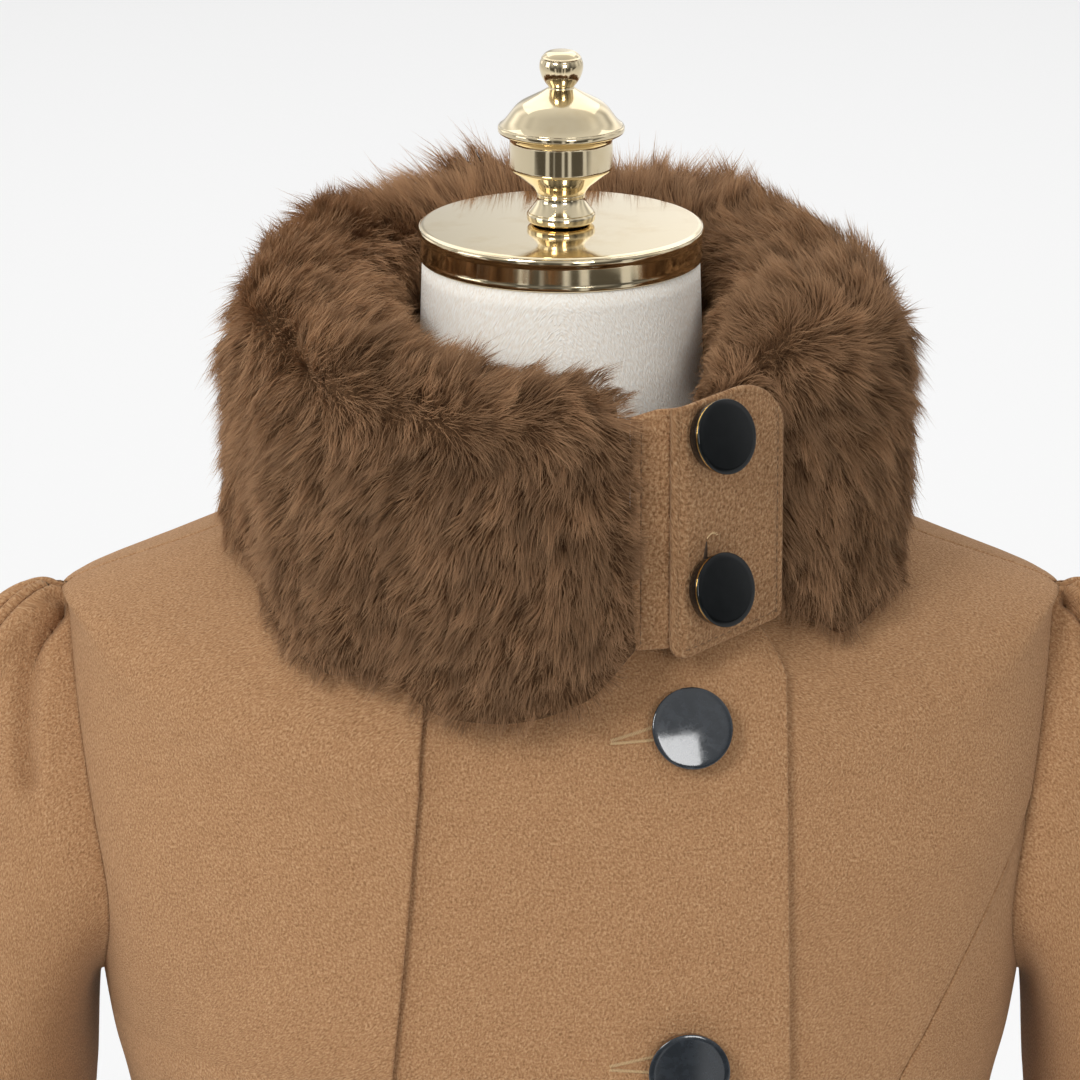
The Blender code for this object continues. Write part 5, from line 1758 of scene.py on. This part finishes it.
    def dress(self, skin: Material, hair: Material) -> None:
        """Make both halves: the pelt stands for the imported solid, and its hair is in two pieces."""
        rng = np.random.default_rng(self.seed)
        floor = self.coat_floor()
        total = sum(table[-1].angle_deg - table[0].angle_deg for table in (self.right, self.left))
        right = ("right", self.right, self.back_inset_deg, self.right_split_deg, self.front_inset_deg)
        left = ("left", self.left, self.front_inset_deg, self.left_split_deg, self.back_inset_deg)
        for name, table, start_inset, middle, end_inset in (right, left):
            start, end = table[0].angle_deg + start_inset, table[-1].angle_deg - end_inset
            degrees = np.linspace(start, end, int((end - start) / self.step_deg) + 1)
            node = f"fur_collar_{name}"
            loft(self.pelt(degrees, table)[0][:, ::-1]).piece(f"{node}_pelt", skin, "brown_fur", node)
            for part, low, high in (("low", start, middle), ("high", middle, end)):
                angles = np.linspace(low, high, max(int((high - low) / self.step_deg), 4))
                tufts = int(self.tufts * (high - low) / total)
                self.hair(rng, angles, table, tufts, floor).piece(f"{node}_hair_{part}", hair, "brown_fur")


@dataclass(frozen=True)
class CollarTab:
    """Cloth strip at the fur's front end and the buttoned tab on it, with topstitching."""

    path: CollarPath
    cloth: float = 0.0032
    gap: float = 0.0003
    strip_run: Pair = (0.0, 0.030)
    strip_low_z: float = 1.3068
    strip_top_z: float = 1.3965
    strip_length: float = 0.096
    tab_run: Pair = (0.0140, 0.0680)
    tab_low_z: Pair = (1.3026, 1.3104)
    tab_top_z: Pair = (1.4000, 1.4062)
    tab_flat: Pair = (0.058, 0.104)
    top_corner: float = 0.0240
    low_corner: float = 0.0040
    near_corner: float = 0.0075
    columns: int = 44
    rows: int = 52
    plump: float = 0.0007
    plump_reach: float = 0.007
    stitch_sink: float = 0.0006
    stitch_inset: float = 0.0036
    stitch_pitch: float = 0.0033
    stitch_length: float = 0.0020
    stitch_width: float = 0.00048

    def outline(self, run: Array) -> tuple[Array, Array]:
        """Heights of the tab's slanting lower edge and of its upper edge, each corner a quarter circle."""
        from_start, to_end = run - self.tab_run[0], self.tab_run[1] - run
        part = from_start / (self.tab_run[1] - self.tab_run[0])

        def corner(way: Array, radius: float) -> Array:
            """How far a corner of a radius cuts in at a way from the tab's end."""
            return radius * (1.0 - np.sqrt(1.0 - np.clip(1.0 - way / radius, 0.0, 1.0) ** 2))

        top = self.tab_top_z[0] + (self.tab_top_z[1] - self.tab_top_z[0]) * part
        low = self.tab_low_z[0] + (self.tab_low_z[1] - self.tab_low_z[0]) * part
        low = low + corner(to_end, self.low_corner) + corner(from_start, self.near_corner)
        return low, top - corner(to_end, self.top_corner)

    def sheet(self, run: Array, low: Array, top: Array, out: float) -> Shape:
        """Thick soft sheet on the path: half its thickness is a quarter circle of the way in from the edge.

        Args:
            run: places of the columns along the path.
            low: height of the lower edge at each column.
            top: height of the upper edge at each column.
            out: how far out the sheet's outside lies.

        Returns:
            The shape.
        """
        radius = 0.5 * self.cloth
        way_in = radius * round_edge()[0][:, None]
        part = np.linspace(0.0, 1.0, self.rows)[1:-1, None]
        inner_low, inner_top = low + way_in[-1], top - way_in[-1]
        z = np.concatenate((low + way_in, inner_low + (inner_top - inner_low) * part, top - way_in[::-1]))
        edge = np.minimum(np.minimum(z - low, top - z), np.minimum(run - run[0], run[-1] - run))
        half = radius * np.sqrt(np.clip(1.0 - (1.0 - np.clip(edge / radius, 0.0, 1.0)) ** 2, 0.0, 1.0))
        half[[0, -1]] = 0.0
        half[:, [0, -1]] = 0.0
        sink = self.stitch_sink * bump(edge - self.stitch_inset, 0.0017)
        lift = self.plump * smooth_step(edge, 0.0, self.plump_reach) - sink
        middle = self.path.point(np.broadcast_to(run, z.shape), z, out - radius + lift)
        return shell(middle, grid_frame(middle)[2], half)

    def crowded(self, start: float, end: float) -> Array:
        """Places between two ends, crowded into a quarter circle at each."""
        way_in = 0.5 * self.cloth * round_edge()[0]
        between = np.linspace(start + way_in[-1], end - way_in[-1], self.columns)[1:-1]
        return np.concatenate((start + way_in, between, end - way_in[::-1]))

    @property
    def strip_out(self) -> float:
        """How far out the strip's outside lies, under the tab."""
        return -self.cloth - self.gap - self.plump

    def strip(self) -> Shape:
        """Strip at the end of the fur, which runs on under the tab."""
        run = self.crowded(*self.strip_run)
        top = self.strip_top_z + (self.tab_top_z[0] - self.strip_top_z) * run / self.tab_run[0]
        low = np.full_like(run, self.strip_low_z)
        return self.sheet(run, low, np.minimum(top, self.tab_top_z[0] - 0.001), self.strip_out)

    def tab(self) -> Shape:
        """Tab with a well-rounded upper corner and a slanting lower edge."""
        run = self.crowded(*self.tab_run)
        return self.sheet(run, *self.outline(run), 0.0)

    def stitched(self, run: Array, z: Array, out: float) -> Shape:
        """A row of stitches along places of the path at given heights."""
        places = self.path.point(run, z, out)
        heading = np.gradient(places, axis=0)
        return stitch_row(places, heading, self.path.normal(run), self.stitch_length, self.stitch_width)

    def topstitch(self) -> Shape:
        """Stitches an even way in from the tab's lower edge and free end."""
        inset = self.stitch_inset
        end_run = self.tab_run[1] - inset
        run = np.arange(self.tab_run[0] + 2.0 * inset, end_run, self.stitch_pitch)
        end_low, end_top = self.outline(np.array(end_run))
        z = np.arange(float(end_low) + inset, float(end_top) - inset, self.stitch_pitch)
        across = self.stitched(run, self.outline(run)[0] + inset, 0.0)
        return joined((across, self.stitched(np.full_like(z, end_run), z, 0.0)))

    def strip_topstitch(self) -> Shape:
        """Stitches down the strip beside the fur."""
        inset = self.stitch_inset
        z = np.arange(self.strip_low_z + inset, self.strip_top_z - inset, self.stitch_pitch)
        return self.stitched(np.full_like(z, inset), z, self.strip_out)

    def dress(self, strip_wool_painted_shade: Material, wool: Material, thread: Material) -> None:
        # The strip's and tab's wools are darker copies of the coat's wool: painted shade.
        strip = self.strip().piece("collar_strip_cloth", strip_wool_painted_shade, "camel_wool", "collar_strip")
        tab = self.tab().piece("collar_tab_cloth", wool, "camel_wool", "collar_tab")
        # This thread is darkened as painted shade of the stitch dimples.
        strip_row = self.strip_topstitch().piece("collar_strip_topstitch", thread, "camel_wool")
        tab_row = self.topstitch().piece("collar_tab_topstitch", thread, "camel_wool")
        strip_flat = (self.strip_run[1] - self.strip_run[0] + 2.0 * self.cloth, self.strip_length)


# Buttons


@dataclass(frozen=True)
class Button:
    """Glossy button in three parts: a domed front disc, a thin gilt ring and a smaller back disc."""

    diameter: float
    height: float = 0.0076
    face: float = 0.93
    dome: float = 0.00045

    def discs(self) -> Array:
        """Profile of the front and back discs, with a groove for the ring between them."""
        radius, top = 0.5 * self.diameter, self.height
        across = np.linspace(0.0, self.face, 10)[:, None] * radius
        dome = top - self.dome * (across / (self.face * radius)) ** 2
        rim = rounded_profile(
            (
                (self.face * radius, top - self.dome, 0.0),
                (0.990 * radius, top - 0.00075, 0.0004),
                (0.990 * radius, top - 0.00140, 0.0002),
                (0.930 * radius, top - 0.00150, 0.0001),
                (0.930 * radius, top - 0.00220, 0.0001),
                (0.978 * radius, top - 0.00240, 0.0003),
                (0.900 * radius, 0.0, 0.0009),
                (0.0, 0.0, 0.0),
            )
        )
        return np.concatenate((np.concatenate((across, dome), axis=1), rim[1:]))

    def ring(self) -> Array:
        """Profile of the thin ring that shows between the discs."""
        radius = 0.5 * self.diameter
        inner, outer = 0.900 * radius, 0.982 * radius
        top, low = self.height - 0.00148, self.height - 0.00222
        corners = ((inner, top, 0.0), (outer, top, 0.0002), (outer, low, 0.0002), (inner, low, 0.0))
        profile = rounded_profile(corners)
        return np.concatenate((profile, profile[:1]))


@dataclass(frozen=True)
class Buttons:
    """All buttons, with the worked buttonholes that show beside them."""

    body: CoatBody
    path: CollarPath
    front: Button = Button(0.0310)
    collar: Button = Button(0.0280)
    lift: float = 0.0003
    front_x: float = 0.0466
    front_z: float = 1.2694
    front_pitch: float = 0.118
    front_count: int = 5
    collar_run: float = 0.0302
    collar_tilt_deg: float = 14.0
    collar_z: Pair = (1.3884, 1.3298)
    collar_plump: float = 0.0007
    hole_reach: float = 0.0283
    hole_hidden: float = 0.0100
    hole_stitch: float = 0.0012
    hole_pitch: float = 0.00055
    thread_width: float = 0.00046

    def cloth(self, x: Any, z: Any) -> tuple[Array, Array]:
        """Points on the lapped front's outside, and the way they face.

        Args:
            x: distance from the middle.
            z: height at the middle of the front of the ring on which the point lies.

        Returns:
            The points and their outward directions.
        """
        x, z = np.broadcast_arrays(np.asarray(x, float), np.asarray(z, float))
        levels = np.linspace(0.0, Level.NECKLINE, 1201)
        level = np.interp(z, self.body.section(levels).front_z, levels)
        angle = self.body.angle_at(level, x)
        out = self.body.lap_step + self.body.relief(level, angle)
        return self.body.point(level, angle, out), self.body.normal(level, angle)

    def front_place(self, index: int) -> tuple[Array, Array]:
        """Where one front button lies, clear of the cloth under all of its disc, and the way it faces."""
        z = self.front_z - index * self.front_pitch
        place, facing = self.cloth(self.front_x, z)
        turn = np.linspace(0.0, 2.0 * math.pi, 24)
        reach = 0.5 * self.front.diameter
        nearby, _ = self.cloth(self.front_x + reach * np.cos(turn), z + reach * np.sin(turn))
        highest = max(float(np.max((nearby - place) @ facing)), 0.0)
        return place + (highest + self.lift) * facing, facing

    def buttonhole(self, index: int) -> Shape:
        """Worked hole beside one front button: stitches across its two lips, which close to a point."""
        shown = self.hole_reach - self.hole_hidden
        part = np.arange(0.0, 1.0, self.hole_pitch / shown)
        z = self.front_z - index * self.front_pitch + 0.0003 + 0.0014 * part
        x = self.front_x - self.hole_reach + shown * part
        lips = 0.0001 + 0.0026 * part
        rows = []
        for side in (1.0, -1.0):
            near, normal = self.cloth(x, z + side * lips)
            far, _ = self.cloth(x - 0.0005, z + side * (lips + self.hole_stitch))
            middle = 0.5 * (near + far) + 0.0002 * normal
            rows.append(stitch_row(middle, far - near, normal, self.hole_stitch * 1.2, self.thread_width))
        return joined(rows)

    def collar_place(self, z: float) -> tuple[Array, Array]:
        """Where a collar button leans on the tab with its lower edge, and the way that it faces."""
        out = 0.455 * self.collar.diameter * math.sin(math.radians(self.collar_tilt_deg))
        place = self.path.point(self.collar_run, z, self.lift + self.collar_plump + out)
        return place, self.path.normal(self.collar_run, self.collar_tilt_deg)

    def slit(self, z: float) -> Shape:
        """End of a collar buttonhole above its button: a low lens on the tab, near-black as painted shade of
        the opening.
        """
        part = np.linspace(0.0, 1.0, 16)
        across = np.linspace(-1.0, 1.0, 5)[:, None]
        run = self.collar_run - 0.0017 + 0.0006 * part + across * 0.0011 * (1.0 - part) ** 0.6
        points = self.path.point(run, z + 0.0110 + 0.0074 * part, self.collar_plump)
        half = 0.00025 * (1.0 - across**2) * np.ones(16)
        half[:, [0, -1]] = 0.0
        return shell(points.swapaxes(0, 1), self.path.normal(run).swapaxes(0, 1), half.T)

    def loop(self, z: float) -> Shape:
        """Pale stitches that close the same buttonhole's end."""
        part = np.linspace(0.0, 1.0, 6)
        run = self.collar_run - 0.0006 + 0.0044 * part
        places = self.path.point(run, z + 0.0196 + 0.0012 * np.sin(3.0 * part), self.collar_plump + 0.0001)
        heading = np.gradient(places, axis=0) + np.array((0.0, 0.0, 0.0006))
        return stitch_row(places, heading, self.path.normal(run), 0.0016, self.thread_width)

    def dress(self, gloss: Sequence[Material], gilt: Material, thread: Sequence[Material]) -> None:
        """Make every button and buttonhole.

        Args:
            gloss: materials of the front and of the collar buttons.
            gilt: material of their rings.
            thread: materials of pale thread and of the slit's painted shade.
        """
        for index in range(self.front_count):
            self.add(f"front_button_{index + 1}", self.front, *self.front_place(index), gloss[0], gilt)
        for index, z in enumerate(self.collar_z):
            self.add(f"collar_button_{index + 1}", self.collar, *self.collar_place(z), gloss[1], gilt)
        holes = [self.buttonhole(index) for index in range(self.front_count)]
        joined((*holes, self.loop(self.collar_z[1]))).piece("buttonhole_stitches", thread[0], "camel_wool")
        # The slit's near-black material is painted shade of the buttonhole's opening.
        self.slit(self.collar_z[1]).piece("collar_buttonhole_slit", thread[1], "camel_wool")

    def add(self, node: str, button: Button, place: Array, facing: Array, gloss: Any, gilt: Any) -> None:
        """Make one button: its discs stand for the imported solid, its ring is a piece of its own."""
        turned(button.discs(), place, facing, 48).piece(f"{node}_discs", gloss, "black_gloss", node)
        turned(button.ring(), place, facing, 48).piece(f"{node}_ring", gilt, "brass")


# Dress form


@dataclass(frozen=True)
class DressForm:
    """The form that carries the coat: covered torso and neck, brass cap with finial, pole and base."""

    body: CoatBody
    cap_top_z: float = 1.440
    cap_height: float = 0.0135
    neck_radius: float = 0.0535
    neck_foot_radius: float = 0.0550
    neck_foot_z: float = 1.386
    neck_leave: float = 0.018
    neck_arrive: float = 0.022
    foot_level: float = 1.80
    foot_z: float = 0.706
    foot_scale: float = 0.94
    side_top: float = 0.82
    pole_radius: float = 0.0140
    pole_foot_z: float = 0.0483
    ease_beside: float = 0.004
    seat_deg: float = 12.0
    around: int = 128
    ease: tuple[tuple[Level, float], ...] = (
        (Level.HEM, 0.030),
        (Level.HIP, 0.014),
        (Level.WAIST, 0.010),
        (Level.BUST, 0.008),
        (Level.CHEST, 0.010),
        (Level.SHOULDER_TIP, 0.006),
        (Level.SHOULDER, 0.0),
        (Level.NECKLINE, 0.002),
    )
    cap: tuple[Triple, ...] = (
        (0.0000, 0.0000, 0.0),
        (0.0538, 0.0000, 0.0012),
        (0.0550, -0.0013, 0.0007),
        (0.0550, -0.0030, 0.0006),
        (0.0543, -0.0042, 0.0006),
        (0.0543, -0.0106, 0.0006),
        (0.0545, -0.0116, 0.0003),
        (0.0545, -0.0128, 0.0003),
        (0.0538, -0.0135, 0.0004),
        (0.0000, -0.0135, 0.0),
    )
    finial: tuple[Triple, ...] = (
        (0.0000, 0.0672, 0.0),
        (0.0062, 0.0671, 0.0032),
        (0.0090, 0.0618, 0.0032),
        (0.0070, 0.0556, 0.0024),
        (0.0046, 0.0530, 0.0010),
        (0.0080, 0.0510, 0.0014),
        (0.0170, 0.0464, 0.0030),
        (0.0222, 0.0394, 0.0020),
        (0.0243, 0.0380, 0.0007),
        (0.0243, 0.0360, 0.0007),
        (0.0204, 0.0338, 0.0012),
        (0.0197, 0.0326, 0.0008),
        (0.0200, 0.0216, 0.0012),
        (0.0170, 0.0194, 0.0018),
        (0.0102, 0.0140, 0.0026),
        (0.0086, 0.0098, 0.0024),
        (0.0116, 0.0056, 0.0018),
        (0.0133, 0.0038, 0.0009),
        (0.0130, 0.0010, 0.0009),
        (0.0112, 0.0000, 0.0006),
        (0.0000, 0.0000, 0.0),
    )
    base: tuple[Triple, ...] = (
        (0.0000, 0.0480, 0.0),
        (0.0210, 0.0480, 0.0008),
        (0.0228, 0.0420, 0.0030),
        (0.0320, 0.0316, 0.0070),
        (0.0700, 0.0230, 0.0120),
        (0.1400, 0.0170, 0.0120),
        (0.1850, 0.0128, 0.0040),
        (0.1905, 0.0060, 0.0030),
        (0.1880, 0.0000, 0.0010),
        (0.0000, 0.0000, 0.0),
    )

    def room(self, level: Array, angle: Array) -> Array:
        """Room between coat and form: a close seat along the shoulder seam and more elsewhere."""
        keys, values = np.array(self.ease, float).T
        beside = np.clip(np.abs(np.degrees(np.abs(angle)) - 90.0) / self.seat_deg, 0.0, 1.0)
        return np.interp(level, keys, values) + self.body.seam + self.ease_beside * beside

    def torso(self) -> Shape:
        """The coat's own rings moved in, then a neck that rises from them on a cubic."""
        body = self.body
        sides = np.linspace(self.foot_level, body.armhole_level(self.side_top), 40)
        levels = np.concatenate((sides, np.linspace(Level.SHOULDER_TIP, Level.NECKLINE, 18)))[:, None]
        angles = np.linspace(0.0, 2.0 * math.pi, self.around + 1)[:-1] - math.pi
        torso = body.point(levels, angles, -(body.cloth + self.room(levels, angles)))
        up = np.array((0.0, 0.0, 1.0))
        foot = torso[0] * np.array((self.foot_scale, self.foot_scale, 0.0)) + up * self.foot_z
        ring = np.stack((np.sin(angles), -np.cos(angles), np.zeros_like(angles)), axis=-1)
        meet = ring * self.neck_foot_radius + up * self.neck_foot_z
        leave = torso[-1] + self.neck_leave * unit(torso[-1] - torso[-2])
        part = np.linspace(0.0, 1.0, 14)[1:, None, None]
        neck = bezier(part, torso[-1], leave, meet - self.neck_arrive * up, meet)
        top_z = self.cap_top_z - self.cap_height - self.body.seam
        top = meet + np.linspace(0.0, 1.0, 7)[1:, None, None] * (ring * self.neck_radius + up * top_z - meet)
        return loft(np.concatenate((foot[None], torso, neck, top)))

    def dress(self, linen: Material, brass: Material) -> None:
        """Make the form and its fittings, each by its profile, steps of rounding, height and steps round."""
        self.torso().piece("form_torso_cover", linen, "linen", "form_torso")
        low, top, radius = self.pole_foot_z, self.foot_z - self.body.seam, self.pole_radius
        pole = ((0.0, top, 0.0), (radius, top, 0.001), (radius, low, 0.001), (0.0, low, 0.0))
        fittings = {
            "neck_cap": (self.cap, 5, self.cap_top_z, 128),
            "cap_finial": (self.finial, 7, self.cap_top_z + self.body.seam, 96),
            "stand_pole": (pole, 5, 0.0, 64),
            "stand_base": (self.base, 7, 0.0, 128),
        }
        for node, (corners, rounding, z, steps) in fittings.items():
            shape = turned(rounded_profile(corners, rounding), (0.0, 0.0, z), steps=steps)
            shape.piece(f"{node}_polished", brass, "brass", node)


# Studio


@dataclass(frozen=True)
class Softbox:
    """A large soft light that faces a point."""

    name: str
    place: Triple
    target: Triple
    size: float
    power: float

    def add(self) -> None:
        """Add the light to the scene."""
        light = bpy.data.lights.new(self.name, "AREA")
        light.shape = "SQUARE"
        light.size = self.size
        light.energy = self.power
        lamp = bpy.data.objects.new(self.name, light)
        lamp.location = self.place
        lamp.rotation_euler = (Vector(self.target) - Vector(self.place)).to_track_quat("-Z", "Y").to_euler()
        bpy.context.scene.collection.objects.link(lamp)


@dataclass(frozen=True)
class Studio:
    """Plain pale floor, soft light and the camera."""

    camera_place: Triple = (-0.0081, -1.842, 1.906)
    camera_down_deg: float = 17.87
    lens: float = 164.67
    floor_half: float = 40.0
    world_back: float = 0.95
    world_front: Pair = (0.15, 0.62)
    world_bands: float = 0.55
    lights: tuple[Softbox, ...] = (
        Softbox("key_softbox", (-1.6, -2.3, 3.1), (0.0, 0.0, 1.25), 1.0, 47.0),
        Softbox("fill_softbox", (0.84, -2.57, 2.09), (0.0, 0.0, 1.25), 0.75, 15.0),
        Softbox("side_softbox", (-2.4, -0.5, 1.9), (0.0, 0.0, 1.35), 1.0, 7.0),
        Softbox("floor_softbox", (0.0, 5.0, 5.0), (0.0, 5.0, 0.0), 7.0, 113.0),
    )

    def room(self) -> World:
        """World that is paler behind the coat, with soft bands round it that show in polished metal."""
        shader = Shader("soft_room", world=True)
        ways, bands = shader.fan("Generated", (5.0, -0.3), (13.0, 0.1))
        front = shader.spread(ways["Z"], 0.0, 0.55, *self.world_front)
        shade = shader.spread(ways["Y"], -0.35, 0.65, front, self.world_back)
        fade = shader.spread(ways["Z"], 0.35, 0.80, self.world_bands, 0.0)
        light = {"Color": (1.0, 1.0, 1.0), "Strength": shade * (bands * fade + 1.0)}
        shader.finish(shader.node("ShaderNodeBackground", light))
        return shader.owner

    def add(self, paper: Material) -> None:
        """Add floor, lights, world and camera."""
        scene = bpy.context.scene
        scene.view_settings.view_transform = "Standard"
        half = self.floor_half
        mesh = bpy.data.meshes.new("floor")
        corners = [(-half, -half, 0.0), (half, -half, 0.0), (half, half, 0.0), (-half, half, 0.0)]
        mesh.from_pydata(corners, [], [(0, 1, 2, 3)])
        mesh.materials.append(paper)
        floor = bpy.data.objects.new("floor", mesh)
        scene.collection.objects.link(floor)
        for light in self.lights:
            light.add()
        scene.world = self.room()
        camera = bpy.data.cameras.new("camera")
        camera.lens = self.lens
        camera.sensor_width = 36.0
        camera.clip_end = 200.0
        eye = bpy.data.objects.new("camera", camera)
        eye.location = self.camera_place
        eye.rotation_euler = (math.radians(90.0 - self.camera_down_deg), 0.0, 0.0)
        scene.collection.objects.link(eye)
        scene.camera = eye


def main() -> None:
    """Build the scene piece by piece."""
    logging.basicConfig(level=logging.INFO, format="%(name)s %(message)s")
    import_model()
    body = CoatBody()
    path = CollarPath()
    wool = MeltonWool().material()
    # Darker copies of the coat's wool for the tab and strip: painted shade for their less lit faces.
    tab_wool_painted_shade = MeltonWool(name="camel_melton_tab_painted_shade", tone_and_painted_light=0.76, contrast=1.15, grain=0.0012).material()
    strip_wool_painted_shade = MeltonWool(name="camel_melton_strip_painted_shade", tone_and_painted_light=0.86, contrast=1.15, grain=0.0012).material()
    thread = SewingThread().material()
    # Topstitch thread for tab and strip: its own colour, darkened as painted shade of the sunk stitch
    # dimples.
    tab_thread_and_dimple_shade = SewingThread("tab_thread_and_dimple_shade", (0.240, 0.134, 0.062), (0.140, 0.076, 0.036)).material()
    # Near-black material for the collar buttonhole slit: painted shade, not thread.
    slit_painted_shade = SewingThread("slit_painted_shade", (0.060, 0.032, 0.015), (0.030, 0.016, 0.008)).material()
    brass = PolishedMetal().material()
    gilt = PolishedMetal(name="gilt_ring", colour=(0.80, 0.52, 0.16), worn=(0.55, 0.33, 0.09)).material()
    Studio().add(StudioPaper().material())
    DressForm(body).dress(LinenCover().material(), brass)
    CoatPanels(body).dress(wool)
    Sleeves(body).dress(wool)
    FurCollar(body, path).dress(FurSkin().material(), FurHair().material())
    CollarTab(path).dress(strip_wool_painted_shade, tab_wool_painted_shade, tab_thread_and_dimple_shade)
    black = GlossyButton("deep_black_gloss", (0.0035, 0.0045, 0.0050), (0.0060, 0.0070, 0.0078), 0.32, 0.05)
    Buttons(body, path).dress((GlossyButton().material(), black.material()), gilt, (thread, slit_painted_shade))


if __name__ == "__main__":
    main()
